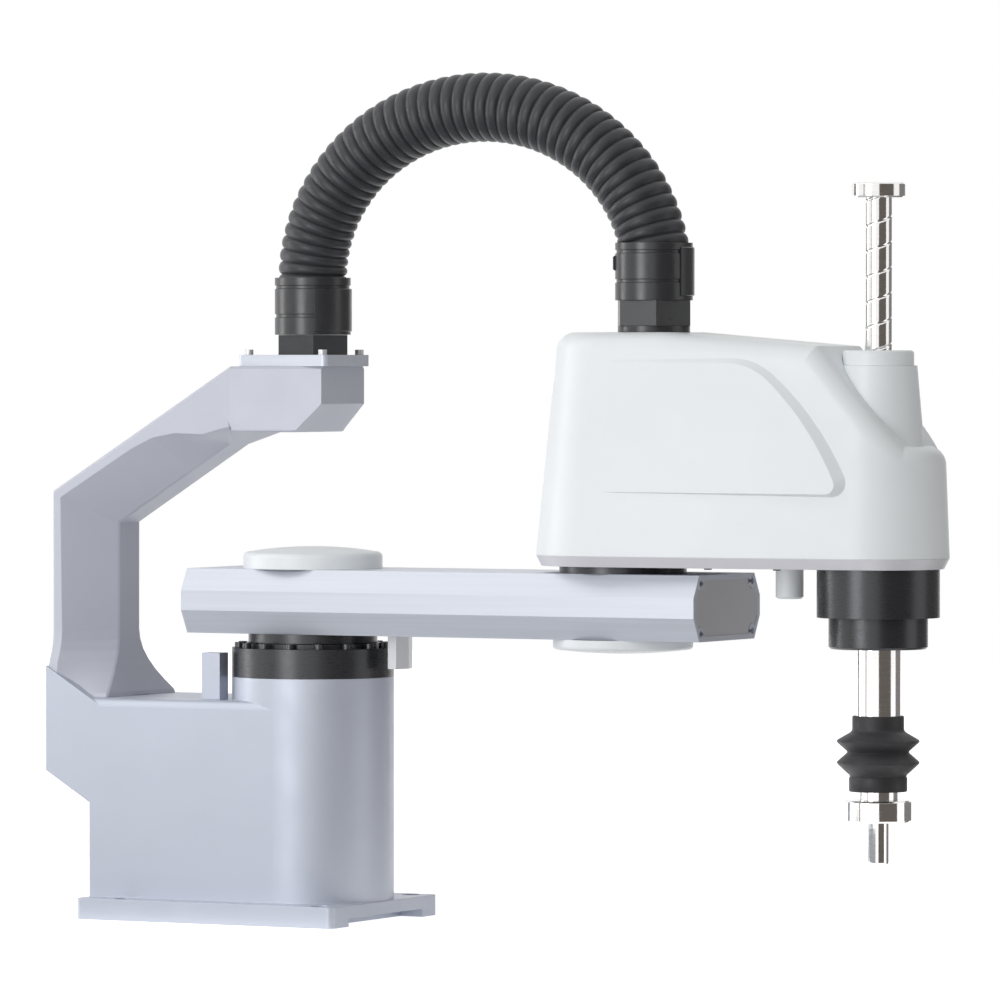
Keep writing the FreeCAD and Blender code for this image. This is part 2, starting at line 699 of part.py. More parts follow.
def stop_bracket():
    """The dog under arm 1 that meets the blocks, with a ridge in front."""
    ridge = STOP_BRACKET_IN + STOP_BRACKET_T - STOP_BRACKET_RIDGE
    points = [V(STOP_BRACKET_IN, -STOP_BRACKET_HALF, STOP_BRACKET_LOW),
              V(ridge, -STOP_BRACKET_HALF, STOP_BRACKET_LOW),
              V(STOP_BRACKET_IN + STOP_BRACKET_T, 0, STOP_BRACKET_LOW),
              V(ridge, STOP_BRACKET_HALF, STOP_BRACKET_LOW),
              V(STOP_BRACKET_IN, STOP_BRACKET_HALF, STOP_BRACKET_LOW)]
    return Part.Face(Part.makePolygon(points + points[:1])).extrude(V(0, 0, STOP_BRACKET_H))


def arm_1_section(x, inset):
    """Cross-section of arm 1 in the plane across its length."""
    slant = math.atan2(ARM_1_BELLY_HALF - ARM_1_FLAT_HALF, ARM_1_UPPER_FACET)
    flat = ARM_1_FLAT_HALF - inset * math.tan((math.pi / 2 - slant) / 2)
    belly = ARM_1_BELLY_HALF - inset
    right = [(flat, ARM_1_LOW + inset), (belly, ARM_1_LOW + ARM_1_LOWER_FACET),
             (belly, ARM_1_HIGH - ARM_1_UPPER_FACET), (flat, ARM_1_HIGH - inset)]
    points = [V(x, y, z) for y, z in right] + [V(x, -y, z) for y, z in reversed(right)]
    return Part.Face(Part.makePolygon(points + points[:1]))


def arm_1_ports(length_from, length_to):
    """Open screw ports along the four inner corners, for the end plates."""
    solids = []
    cuts = []
    for side in (-1, 1):
        for z, down in ((ARM_1_HIGH - ARM_1_PORT_INSET, -1), (ARM_1_LOW + ARM_1_PORT_INSET, 1)):
            y = side * (ARM_1_FLAT_HALF - ARM_1_PORT_INSET / 2)
            start = V(length_from, y, z)
            length = length_to - length_from
            solids.append(Part.makeCylinder(ARM_1_PORT_R, length, start, V(1, 0, 0)))
            cuts.append(Part.makeCylinder(ARM_1_PORT_BORE_R, length, start, V(1, 0, 0)))
            slot_y = y - side * ARM_1_PORT_R
            cuts.append(block(length_from, length_to, min(y, slot_y), max(y, slot_y),
                              z - ARM_1_PORT_SLOT / 2, z + ARM_1_PORT_SLOT / 2))
    return solids, cuts


def arm_1_profile():
    """Extruded hollow arm with its two axis openings."""
    length = ARM_1_FRONT - ARM_1_BACK
    outer = arm_1_section(ARM_1_BACK, 0).extrude(V(length, 0, 0))
    inner = arm_1_section(ARM_1_BACK, ARM_1_WALL).extrude(V(length, 0, 0))
    solids, cuts = arm_1_ports(ARM_1_BACK, ARM_1_FRONT)
    body = outer.cut(inner)
    body = body.fuse([port.common(outer) for port in solids]).cut(Part.makeCompound(cuts))
    body = body.cut(cylinder(J2_SPIGOT_R, ARM_1_HIGH - 2 * ARM_1_WALL, ARM_1_HIGH))
    body = body.cut(cylinder(J2_SPIGOT_R, ARM_1_LOW, ARM_1_LOW + 2 * ARM_1_WALL, J2_X))
    return body.removeSplitter()


def arm_1_end_plates():
    """Plates set into both ends of the profile, cut round the screw ports."""
    solids, _ = arm_1_ports(ARM_1_BACK, ARM_1_FRONT)
    grown = [Part.makeCylinder(ARM_1_PORT_R + END_PLATE_FIT, ARM_1_FRONT - ARM_1_BACK,
                               V(ARM_1_BACK, port.CenterOfMass.y, port.CenterOfMass.z), V(1, 0, 0))
             for port in solids]
    plates = []
    for x in (ARM_1_BACK + END_PLATE_INSET, ARM_1_FRONT - END_PLATE_INSET - END_PLATE_T):
        plate = arm_1_section(x, ARM_1_WALL).extrude(V(END_PLATE_T, 0, 0))
        plates.append(plate.cut(Part.makeCompound(grown)))
    return Part.makeCompound(plates)


def dome_cap(x, radius, seat, rim, crown, direction):
    """A shallow domed cap with a soft rim; direction is 1 upwards and -1 downwards."""
    soft = rim / 3
    low = 0 if direction > 0 else -rim
    drum = cylinder(radius, seat + low, seat + low + rim, x)
    top = seat + direction * rim
    edge = [edge for edge in drum.Edges if abs(edge.BoundBox.ZMin - top) < 0.01 and edge.BoundBox.ZLength < 0.01]
    drum = drum.makeFillet(soft, edge)
    span = radius - soft
    ball_r = (span ** 2 + crown ** 2) / (2 * crown)
    ball = Part.makeSphere(ball_r, V(x, 0, top - direction * (ball_r - crown)))
    dome = ball.common(cylinder(span, min(top, top + direction * crown), max(top, top + direction * crown), x))
    hollow = cylinder(radius - CAP_WALL, min(seat, top - direction * soft), max(seat, top - direction * soft), x)
    return drum.fuse(dome).cut(hollow).removeSplitter()


def joint_2_hub():
    """Hub on top of arm 1 whose spigot carries arm 2."""
    top = ARM_2_LOW - SEAT_GAP
    return turned([(0, ARM_1_HIGH), (J2_HUB_R, ARM_1_HIGH), (J2_HUB_R, top),
                   (J2_SPIGOT_R - RUN_FIT, top), (J2_SPIGOT_R - RUN_FIT, J2_SPIGOT_TOP - TOUCH_GAP),
                   (0, J2_SPIGOT_TOP - TOUCH_GAP)], J2_X)


def arm_2_base():
    """Cast floor of arm 2 with a bevelled rim, a bearing boss and the bore for the nut housing."""
    low = arm_hull(ARM_2_REAR_R - ARM_2_BEVEL_IN, ARM_2_FRONT_R - ARM_2_BEVEL_IN, ARM_2_LOW)
    high = arm_hull(ARM_2_REAR_R, ARM_2_FRONT_R, COVER_LOW)
    body = Part.makeLoft([low, high], True, True)
    body = body.fuse(cylinder(J2_BOSS_R, ARM_2_LOW, J2_SPIGOT_TOP, J2_X))
    body = body.cut(cylinder(J2_BEARING_R, J2_BEARING_LOW, J2_SPIGOT_TOP, J2_X))
    body = body.cut(cylinder(J2_SPIGOT_R + TOUCH_GAP, ARM_2_LOW, J2_SPIGOT_TOP, J2_X))
    return body.cut(cylinder(HOUSING_NECK_R, ARM_2_LOW, COVER_LOW, J3_X)).removeSplitter()


def cover_side(drop):
    """Side outline of the cover: the flat top, the slope and the bonnet down to the nose."""
    top = COVER_TOP - drop
    reach = ARM_2_REAR_R + 1
    bonnet = COVER_TOP - BONNET_DROP - drop
    return [(J2_X - reach, COVER_LOW), (J2_X - reach, top), (J2_X + SLOPE_START, top),
            (J3_X - SLOPE_END, top - SLOPE_DROP), (J3_X + BONNET_REACH - drop / 2, bonnet),
            (J3_X + reach, bonnet - NOSE_DROP), (J3_X + reach, COVER_LOW)]


def cover_loft(inset, drop):
    """The cover's flanks moved in by one distance, under its side outline lowered by another."""
    shell = Part.makeLoft([
        arm_hull(ARM_2_REAR_R - inset, ARM_2_FRONT_R - inset, COVER_LOW),
        arm_hull(COVER_REAR_TOP_R - inset, COVER_FRONT_TOP_R - inset, COVER_TOP + CUT_OVER),
    ], True, True)
    return shell.common(slab(cover_side(drop), ARM_2_REAR_R + 1))


def cover_body():
    """Outer body of the cover with soft upper rims."""
    form = cover_loft(0, 0)
    lowest = COVER_TOP - BONNET_DROP - 2 * NOSE_DROP
    rims = [edge for edge in form.Edges if edge.BoundBox.ZMin > lowest and edge.BoundBox.XLength > 0.01]
    return form.makeFillet(COVER_FILLET, rims)


def cover_cavity():
    """Room inside the cover, stepped in under the soft rims."""
    deep = COVER_WALL + COVER_INNER_STEP
    return cover_loft(COVER_WALL, deep).fuse([cover_loft(deep, COVER_WALL), cover_tower(COVER_WALL)])


def cover_radii(z):
    """Rear and front radius of the cover's flanks at a height."""
    share = (z - COVER_LOW) / (COVER_TOP + CUT_OVER - COVER_LOW)
    rear = ARM_2_REAR_R + (COVER_REAR_TOP_R - ARM_2_REAR_R) * share
    front = ARM_2_FRONT_R + (COVER_FRONT_TOP_R - ARM_2_FRONT_R) * share
    return rear, front


def flank_arc(x, z, radius, start, end, y):
    """An arc in an upright plane along the arm, between two angles."""
    return Part.Arc(*[V(x + radius * math.cos(angle), y, z + radius * math.sin(angle))
                      for angle in (start, (start + end) / 2, end)]).toShape()


def pad_outline(grow, y):
    """Outline of the pad: a long arc with a round above it and a tighter one below."""
    arc_x = J3_X - PAD_ARC_BACK
    arc_z = COVER_LOW - PAD_ARC_DROP
    arc_r = PAD_ARC_R + grow
    low = COVER_LOW + PAD_RISE - grow * PAD_LIP / PAD_BEVEL_SPAN
    high = COVER_LOW + PAD_TOP + grow
    corner_r = PAD_CORNER_R + grow / 2
    top_r = PAD_TOP_R + grow
    corner_z = low + corner_r
    top_z = high - top_r
    corner_angle = math.asin((corner_z - arc_z) / (arc_r - corner_r))
    top_angle = math.asin((top_z - arc_z) / (arc_r - top_r))
    corner_x = arc_x + (arc_r - corner_r) * math.cos(corner_angle)
    top_x = arc_x + (arc_r - top_r) * math.cos(top_angle)
    return Part.Wire([
        Part.LineSegment(V(J2_X, y, low), V(corner_x, y, low)).toShape(),
        flank_arc(corner_x, corner_z, corner_r, -math.pi / 2, corner_angle, y),
        flank_arc(arc_x, arc_z, arc_r, corner_angle, top_angle, y),
        flank_arc(top_x, top_z, top_r, top_angle, math.pi / 2, y),
        Part.LineSegment(V(top_x, y, high), V(J2_X, y, high)).toShape(),
        Part.LineSegment(V(J2_X, y, high), V(J2_X, y, low)).toShape(),
    ])


def pad_wedge(side):
    """What bounds the pad on one side, bevelled towards its face."""
    wide = pad_outline(PAD_BEVEL_SPAN, side * (PAD_FACE_HALF - PAD_BEVEL_SPAN))
    narrow = pad_outline(-PAD_BEVEL_SPAN, side * (PAD_FACE_HALF + PAD_BEVEL_SPAN))
    return Part.makeLoft([wide, narrow], True, True)


def cover_pad():
    """Raised pads that keep the flanks straight where the nose narrows."""
    low = COVER_LOW + PAD_RISE - PAD_LIP
    high = COVER_TOP - COVER_FILLET
    outlines = []
    for z in (low, high):
        rear, front = cover_radii(z)
        outlines.append(arm_hull(rear - PAD_SINK, front + PAD_OUT, z))
    form = Part.makeLoft(outlines, True, True)
    return form.common(pad_wedge(-1).fuse(pad_wedge(1)))


def cover_tower(inset):
    """The upright that guides the shaft, spreading to the nose."""
    foot = COVER_TOP - BONNET_DROP - COVER_FILLET
    return Part.makeCone(TOWER_FOOT_R - inset, TOWER_R - inset, TOWER_SEAM - foot, V(J3_X, 0, foot))


def arm_2_cover():
    """Moulded cover, open underneath, with a hole for the duct fitting."""
    body = cover_body().fuse([cover_tower(0), cover_pad()]).cut(cover_cavity())
    body = body.cut(cylinder(TOWER_BORE_R, TOWER_SEAM - 2 * COVER_WALL, TOWER_SEAM, J3_X))
    body = body.cut(cylinder(TOWER_R - TOWER_CAP_STEP + TOWER_CAP_FIT, TOWER_SEAM, TOWER_TOP, J3_X))
    body = body.cut(cylinder(DUCT_BORE_R, COVER_TOP - 2 * COVER_WALL, COVER_TOP + CUT_OVER, DUCT_FRONT_X))
    return body.removeSplitter()


def tower_cap():
    """Cap of the tower, with a wiper bore round the shaft."""
    rim = TOWER_R - TOWER_CAP_STEP
    return turned([(TOWER_BORE_R, TOWER_SEAM), (rim, TOWER_SEAM), (rim, TOWER_TOP - EDGE_BREAK),
                   (rim - EDGE_BREAK, TOWER_TOP), (TOWER_BORE_R, TOWER_TOP)], J3_X)


def joint_2_reducer():
    """Gear unit on the boss above the arm 2 bearing."""
    low = J2_SPIGOT_TOP
    step = low + J2_FLANGE_T
    return turned([(0, low), (J2_BOSS_R, low), (J2_BOSS_R, step), (J2_REDUCER_R, step),
                   (J2_REDUCER_R, low + J2_REDUCER_H), (0, low + J2_REDUCER_H)], J2_X)


def joint_2_stop_pin():
    """Peg under arm 2 that meets the flank of arm 1."""
    low = ARM_2_LOW - J2_STOP_H
    return turned([(0, low), (J2_STOP_R - EDGE_BREAK, low), (J2_STOP_R, low + EDGE_BREAK),
                   (J2_STOP_R, ARM_2_LOW), (0, ARM_2_LOW)], J2_X + J2_STOP_REACH)


def nut_housing():
    """Stepped housing under the arm's nose; it holds the bearing of the spline nut."""
    return turned([
        (HOUSING_BORE_R, HOUSING_LOW), (HOUSING_NOSE_R - EDGE_BREAK, HOUSING_LOW),
        (HOUSING_NOSE_R, HOUSING_LOW + EDGE_BREAK), (HOUSING_NOSE_R, HOUSING_STEP),
        (HOUSING_R, HOUSING_STEP), (HOUSING_R, ARM_2_LOW), (HOUSING_NECK_R, ARM_2_LOW),
        (HOUSING_NECK_R, HOUSING_HIGH), (SPLINE_BEARING_R, HOUSING_HIGH),
        (SPLINE_BEARING_R, SPLINE_BEARING_LOW), (HOUSING_BORE_R, SPLINE_BEARING_LOW)], J3_X)


def spline_nut():
    """Nut that turns the shaft; it hangs in its bearing by a flange."""
    bore = SHAFT_R + RUN_FIT
    flange_low = HOUSING_HIGH + TOUCH_GAP
    low = SPLINE_BEARING_LOW + TOUCH_GAP
    in_bearing = SPLINE_BEARING_IN_R - RUN_FIT
    return turned([(bore, low), (in_bearing, low), (in_bearing, flange_low), (SPLINE_FLANGE_R, flange_low),
                   (SPLINE_FLANGE_R, flange_low + SPLINE_FLANGE_T), (SPLINE_NUT_R, flange_low + SPLINE_FLANGE_T),
                   (SPLINE_NUT_R, SCREW_NUT_LOW - TOUCH_GAP), (bore, SCREW_NUT_LOW - TOUCH_GAP)], J3_X)


def pulley(x, y, radius, bore, low):
    """A belt pulley with a flange at each face."""
    rim = radius + FLANGE_RISE
    body = ring(radius, bore, low, low + PULLEY_H, x, y)
    body = body.fuse(ring(rim, bore, low, low + FLANGE_T, x, y))
    return body.fuse(ring(rim, bore, low + PULLEY_H - FLANGE_T, low + PULLEY_H, x, y)).removeSplitter()


def belt(motor_y, nut_r, low):
    """A toothed belt from a motor pulley to a nut pulley, drawn as its plain band."""
    gap = BELT_GAP
    base = low + FLANGE_T + gap
    height = PULLEY_H - 2 * FLANGE_T - 2 * gap
    inner = hull_wire(MOTOR_X, motor_y, MOTOR_PULLEY_R + gap, J3_X, 0, nut_r + gap, base)
    outer = hull_wire(MOTOR_X, motor_y, MOTOR_PULLEY_R + BELT_T, J3_X, 0, nut_r + BELT_T, base)
    return Part.Face(outer).extrude(V(0, 0, height)).cut(Part.Face(inner).extrude(V(0, 0, height)))


def screw_nut():
    """Ball screw nut that lifts the shaft, with a seat for its upper bearing."""
    return ring(SCREW_NUT_R, SHAFT_R + RUN_FIT, SCREW_NUT_LOW, SCREW_NUT_LOW + SCREW_NUT_H, J3_X)


def post_places():
    """Feet of the posts that carry the drive plate."""
    return [(x, side * y) for x, y in ((POST_REAR_X, POST_REAR_Y), (POST_FRONT_X, POST_FRONT_Y))
            for side in (-1, 1)]


def drive_posts():
    """Round posts from the cast floor to the drive plate."""
    return Part.makeCompound([cylinder(POST_R, COVER_LOW, DRIVE_PLATE_Z, x, y) for x, y in post_places()])


def drive_plate():
    """Plate that both quill motors hang from."""
    edge = POST_R + DRIVE_PLATE_EDGE
    half = POST_FRONT_Y + edge
    body = block(POST_REAR_X - edge, POST_FRONT_X + edge, -half, half,
                 DRIVE_PLATE_Z, DRIVE_PLATE_Z + DRIVE_PLATE_T)
    for side in (-1, 1):
        body = body.cut(cylinder(MOTOR_SHAFT_R + 1, DRIVE_PLATE_Z, DRIVE_PLATE_Z + DRIVE_PLATE_T,
                                 MOTOR_X, side * MOTOR_Y))
    return body


def screw_nut_bracket():
    """Bridge above the belts that holds the bearing of the screw nut."""
    low = SCREW_BEARING_LOW
    high = low + SCREW_BEARING_H
    bar = block(POST_FRONT_X - POST_R, POST_FRONT_X + POST_R, -POST_FRONT_Y - POST_R,
                POST_FRONT_Y + POST_R, low, high)
    arm = block(POST_FRONT_X, J3_X, -BRACKET_RING_R / 2, BRACKET_RING_R / 2, low, high)
    body = bar.fuse([arm, cylinder(BRACKET_RING_R, low, high, J3_X)])
    body = body.cut(cylinder(SCREW_BEARING_R, low, high, J3_X))
    for side in (-1, 1):
        body = body.fuse(cylinder(POST_R, DRIVE_PLATE_Z + DRIVE_PLATE_T, low,
                                  POST_FRONT_X, side * POST_FRONT_Y))
    return body.removeSplitter()


def quill_shaft():
    """Ball screw spline shaft with its turned tool end."""
    step = BOTTOM_COLLAR_LOW
    tip = cylinder(TIP_R, TIP_LOW, step, J3_X)
    rim = [edge for edge in tip.Edges if edge.BoundBox.ZMax < TIP_LOW + 0.01]
    rod = turned([(0, step), (SHAFT_R, step), (SHAFT_R, SHAFT_TOP - EDGE_BREAK),
                  (SHAFT_R - EDGE_BREAK, SHAFT_TOP), (0, SHAFT_TOP)], J3_X)
    return tip.makeFillet(TIP_ROUND, rim).fuse(rod).removeSplitter()


def quill_tube():
    """Ground sleeve over the lower end of the shaft."""
    return ring(TUBE_R, SHAFT_R, TUBE_LOW, TUBE_TOP, J3_X)


def clamp_collar(radius, low, high):
    """A collar on the shaft with broken edges."""
    return turned([(SHAFT_R, low), (radius - COLLAR_BREAK, low), (radius, low + COLLAR_BREAK),
                   (radius, high - COLLAR_BREAK), (radius - COLLAR_BREAK, high), (SHAFT_R, high)], J3_X)


def seal_washer():
    """Washer between the bottom collar and the bellows."""
    return ring(WASHER_R, SHAFT_R, BOTTOM_COLLAR_HIGH, BELLOWS_LOW, J3_X)


def bellows_outline():
    """Outer outline of the bellows from its lower cuff to its upper cuff, as radius and height."""
    foot = BELLOWS_LOW + BELLOWS_CUFF_H
    outline = [(BELLOWS_FOOT_R, BELLOWS_LOW), (BELLOWS_FOOT_R, foot)]
    for fold in range(BELLOWS_FOLDS):
        root = foot + 2 * BELLOWS_CREST + BELLOWS_FOLD_H * fold
        crest = root + BELLOWS_FOLD_H / 2
        outline += [(BELLOWS_ROOT_R, root), (BELLOWS_FOLD_R, crest - BELLOWS_CREST / 2),
                    (BELLOWS_FOLD_R, crest + BELLOWS_CREST / 2)]
    neck = foot + 2 * BELLOWS_CREST + BELLOWS_FOLD_H * BELLOWS_FOLDS
    cuff = TUBE_R + BELLOWS_WALL
    return outline + [(cuff, neck), (cuff, neck + BELLOWS_NECK_H)]


def bellows():
    """Two-fold rubber bellows that seals the quill."""
    outline = bellows_outline()
    return turned(outline + [(TUBE_R, outline[-1][1]), (TUBE_R, BELLOWS_LOW)], J3_X)


def duct_nut(x, low, high):
    """Hexagonal clamp nut of a duct fitting."""
    return hexagon(NUT_FLATS, low, high, x).cut(cylinder(DUCT_BORE_R, low, high, x))


def duct_sleeve(x, low, high):
    """Socket that the duct's end sits in, with two shallow grooves outside."""
    outer = [(SLEEVE_R, low)]
    for band in (low + SLEEVE_BAND_LOW, low + SLEEVE_BAND_HIGH):
        outer += [(SLEEVE_R, band), (SLEEVE_R - SLEEVE_GROOVE, band),
                  (SLEEVE_R - SLEEVE_GROOVE, band + SLEEVE_BAND), (SLEEVE_R, band + SLEEVE_BAND)]
    floor = low + SLEEVE_FLOOR
    inner = [(SLEEVE_R, high), (SLEEVE_BORE_R, high), (SLEEVE_BORE_R, floor), (DUCT_BORE_R, floor),
             (DUCT_BORE_R, low)]
    return turned(outer + inner, x)


def duct_span():
    """Half the arch's width, so that its seat in the front sleeve is centred."""
    rise = (FRONT_SLEEVE_TOP - DUCT_SEAT / 2 - DUCT_CENTRE_Z) / DUCT_RISE
    return DUCT_FRONT_X / (1 + math.sqrt(1 - rise ** 2))


def duct_point(angle):
    """Centre and heading of the duct at an angle of its elliptical arch."""
    span = duct_span()
    centre = V(span * (1 - math.cos(angle)), 0, DUCT_CENTRE_Z + DUCT_RISE * math.sin(angle))
    heading = V(span * math.sin(angle), 0, DUCT_RISE * math.cos(angle))
    return centre, heading


def duct_angles():
    """Angles of the arch, from inside the rear sleeve to inside the front sleeve."""
    first = math.asin((REAR_SLEEVE_TOP - DUCT_SEAT - DUCT_CENTRE_Z) / DUCT_RISE)
    last = math.pi - math.asin((FRONT_SLEEVE_TOP - DUCT_SEAT - DUCT_CENTRE_Z) / DUCT_RISE)
    return [first + (last - first) * k / (2 * DUCT_RIBS) for k in range(2 * DUCT_RIBS + 1)]


def duct_circle(angle, radius):
    """A circle across the duct."""
    centre, heading = duct_point(angle)
    return Part.Wire(Part.makeCircle(radius, centre, heading))


def cable_duct():
    """Corrugated duct: a ruled loft through crests and valleys, bored through."""
    angles = duct_angles()
    rings = [duct_circle(a, DUCT_CREST_R if k % 2 else DUCT_VALLEY_R) for k, a in enumerate(angles)]
    bore = [duct_circle(a, DUCT_BORE_R) for a in angles[::8]]
    return Part.makeLoft(rings, True, True).cut(Part.makeLoft(bore, True, False))


def write(name, shape):
    """Writes one sub-part to its file."""
    shape.exportStep(os.path.join("parts", name + ".step"))


def root_parts():
    """Everything that stays with the bolted base."""
    write("base_casting", base_casting())
    write("cable_neck", cable_neck())
    write("neck_top_plate", neck_top_plate())
    write("neck_plate_screws", neck_plate_screws())
    write("duct_nut_rear", duct_nut(0, NECK_TOP + NECK_PLATE_T, REAR_NUT_TOP))
    write("connector_panel", connector_panel())
    write("power_connector", socket_shell(POWER_Y, POWER_SIZE))
    write("signal_connector", socket_shell(SIGNAL_Y, SIGNAL_SIZE))
    write("air_fittings", air_fittings())
    write("joint_1_ring", joint_1_ring())
    write("joint_1_ring_screws", joint_1_ring_screws())
    write("joint_1_bearing", joint_1_bearing())
    write("joint_1_reducer", joint_1_reducer())
    write("joint_1_motor", servo_motor(0, 0, J1_MOTOR_HALF, J1_REDUCER_LOW - J1_MOTOR_H,
                                        J1_REDUCER_LOW, J1_REDUCER_LOW))
    write("joint_1_stop_blocks", stop_blocks())


def arm_1_parts():
    """Everything that turns with arm 1."""
    write("joint_1_hub", joint_1_hub())
    write("joint_1_stop_bracket", stop_bracket())
    write("arm_1_profile", arm_1_profile())
    write("arm_1_end_plates", arm_1_end_plates())
    write("arm_1_top_cap", dome_cap(0, TOP_CAP_R, ARM_1_HIGH, TOP_CAP_RIM, TOP_CAP_CROWN, 1))
    write("arm_1_bottom_cap", dome_cap(J2_X, BOTTOM_CAP_R, ARM_1_LOW, BOTTOM_CAP_RIM, BOTTOM_CAP_CROWN, -1))
    write("joint_2_hub", joint_2_hub())
    write("duct_sleeve_rear", duct_sleeve(0, REAR_NUT_TOP + SEAT_GAP, REAR_SLEEVE_TOP))
    write("cable_duct", cable_duct())


def arm_2_parts():
    """Everything that turns with arm 2."""
    write("arm_2_base", arm_2_base())
    write("arm_2_cover", arm_2_cover())
    write("tower_cap", tower_cap())
    write("joint_2_bearing", ring(J2_BEARING_R, J2_SPIGOT_R, J2_BEARING_LOW,
                                  J2_BEARING_LOW + J2_BEARING_H, J2_X))
    write("joint_2_reducer", joint_2_reducer())
    motor_low = J2_SPIGOT_TOP + J2_REDUCER_H
    write("joint_2_motor", servo_motor(J2_X, 0, J2_MOTOR_HALF, motor_low, motor_low + J2_MOTOR_H, 0))
    write("joint_2_stop_pin", joint_2_stop_pin())
    write("nut_housing", nut_housing())
    write("spline_nut_bearing", ring(SPLINE_BEARING_R, SPLINE_BEARING_IN_R, SPLINE_BEARING_LOW,
                                     HOUSING_HIGH, J3_X))
    write("drive_posts", drive_posts())
    write("drive_plate", drive_plate())
    motor_low = DRIVE_PLATE_Z - MOTOR_H
    shaft_3 = J3_PULLEY_Z + PULLEY_H
    shaft_4 = J4_PULLEY_Z + PULLEY_H
    write("joint_3_motor", servo_motor(MOTOR_X, MOTOR_Y, MOTOR_HALF, motor_low, DRIVE_PLATE_Z, shaft_3))
    write("joint_4_motor", servo_motor(MOTOR_X, -MOTOR_Y, MOTOR_HALF, motor_low, DRIVE_PLATE_Z, shaft_4))
    write("joint_3_belt", belt(MOTOR_Y, J3_PULLEY_R, J3_PULLEY_Z))
    write("joint_4_belt", belt(-MOTOR_Y, J4_PULLEY_R, J4_PULLEY_Z))
    write("screw_nut_bracket", screw_nut_bracket())
    write("screw_nut_bearing", ring(SCREW_BEARING_R, SCREW_NUT_R + RUN_FIT, SCREW_BEARING_LOW,
                                    SCREW_BEARING_LOW + SCREW_BEARING_H, J3_X))
    write("duct_flange_front", ring(FRONT_FLANGE_R, DUCT_BORE_R, COVER_TOP, FRONT_FLANGE_TOP, DUCT_FRONT_X))
    write("duct_nut_front", duct_nut(DUCT_FRONT_X, FRONT_FLANGE_TOP, FRONT_NUT_TOP))
    write("duct_sleeve_front", duct_sleeve(DUCT_FRONT_X, FRONT_NUT_TOP, FRONT_SLEEVE_TOP))


def quill_parts():
    """The nuts, their pulleys and the quill."""
    write("spline_nut", spline_nut())
    write("joint_4_pulley", pulley(J3_X, 0, J4_PULLEY_R, SPLINE_NUT_R, J4_PULLEY_Z))
    write("ball_screw_nut", screw_nut())
    write("joint_3_pulley", pulley(J3_X, 0, J3_PULLEY_R, SCREW_NUT_R, J3_PULLEY_Z))
    write("joint_3_motor_pulley", pulley(MOTOR_X, MOTOR_Y, MOTOR_PULLEY_R, MOTOR_SHAFT_R + RUN_FIT, J3_PULLEY_Z))
    write("joint_4_motor_pulley", pulley(MOTOR_X, -MOTOR_Y, MOTOR_PULLEY_R, MOTOR_SHAFT_R + RUN_FIT, J4_PULLEY_Z))
    write("quill_shaft", quill_shaft())
    write("quill_tube", quill_tube())
    write("top_stop_collar", clamp_collar(COLLAR_R, SHAFT_TOP - COLLAR_T, SHAFT_TOP))
    write("bottom_collar", clamp_collar(BOTTOM_COLLAR_R, BOTTOM_COLLAR_LOW, BOTTOM_COLLAR_HIGH))
    write("seal_washer", seal_washer())
    write("bellows", bellows())


os.makedirs("parts", exist_ok=True)
root_parts()
arm_1_parts()
arm_2_parts()
quill_parts()
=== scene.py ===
"""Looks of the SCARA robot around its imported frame: camera, studio light, materials and detail pieces."""
import json
import math

import bmesh
import bpy
from mathutils import Matrix, Vector


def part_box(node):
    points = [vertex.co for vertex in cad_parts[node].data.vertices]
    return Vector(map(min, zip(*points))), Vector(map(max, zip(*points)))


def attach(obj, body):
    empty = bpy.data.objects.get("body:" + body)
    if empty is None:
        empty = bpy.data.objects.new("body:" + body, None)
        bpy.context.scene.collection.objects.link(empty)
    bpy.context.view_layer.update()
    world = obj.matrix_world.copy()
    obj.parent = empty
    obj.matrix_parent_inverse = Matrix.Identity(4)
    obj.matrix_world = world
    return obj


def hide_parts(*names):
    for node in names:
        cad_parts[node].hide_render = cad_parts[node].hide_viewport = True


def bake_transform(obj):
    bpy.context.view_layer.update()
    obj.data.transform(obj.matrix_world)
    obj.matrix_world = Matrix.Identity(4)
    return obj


# Camera, from the edges of the photograph
CAMERA_PLACE = (3.586, -6.361, 0.538)
CAMERA_AZIMUTH = 28.0
CAMERA_DOWN = 1.056
CAMERA_LENS = 273.3

# Studio
WORLD_STRENGTH = 0.45
FLOOR_ALBEDO = 0.8
FLOOR_GLOW = 0.88
FLOOR_DROP = 0.0005
# Name, direction (degrees right of the camera, degrees up, metres), width, height, power, colour
LAMPS = (("key", (-38, 8, 3.4), 1.1, 2.4, 42.0, (0.97, 0.985, 1.0)),
         ("side", (-106, 10, 3.2), 0.8, 2.2, 20.0, (1, 1, 1)),
         ("top", (-74, 52, 3.0), 1.8, 1.8, 11.0, (1, 1, 1)))
# Cards seen only in reflections, glowing their shade to paint dark reflections: name, first and last degrees
# right of the camera, shade
REFLECTION_SHADES = (("reflection_shade_front", 0, 65, (0.13, 0.115, 0.105)),
         ("reflection_shade_side", 96, 155, (0.22, 0.21, 0.21)),
         ("reflection_shade_thin", -70, -65, (0.3, 0.28, 0.27)))
# Where the cards that paint dark reflections stand
REFLECTION_SHADE_CENTRE = Vector((0.6, 0, 0))
REFLECTION_SHADE_RADIUS = 3.4
REFLECTION_SHADE_NEAR = 0.15
REFLECTION_SHADE_HEIGHT = 2.6
# Card on the floor that paints a dark reflection into the down-facing facets
LOW_REFLECTION_SHADE_CORNERS = ((-0.9, -1.3), (0.6, -1.3), (0.6, -0.13), (-0.9, -0.13))
LOW_REFLECTION_SHADE_COLOUR = (0.36, 0.37, 0.4)

# Duct, as in the solid: an elliptical arch from sleeve to sleeve
DUCT_RISE = 0.163
DUCT_SINK = 0.002
DUCT_SEAT = 0.008
DUCT_RIBS = 46
DUCT_CREST_R = 0.033
DUCT_VALLEY_R = 0.0298
DUCT_RIB_STEPS = 10
DUCT_RIB_FULLNESS = 0.55
DUCT_SEGMENTS = 72

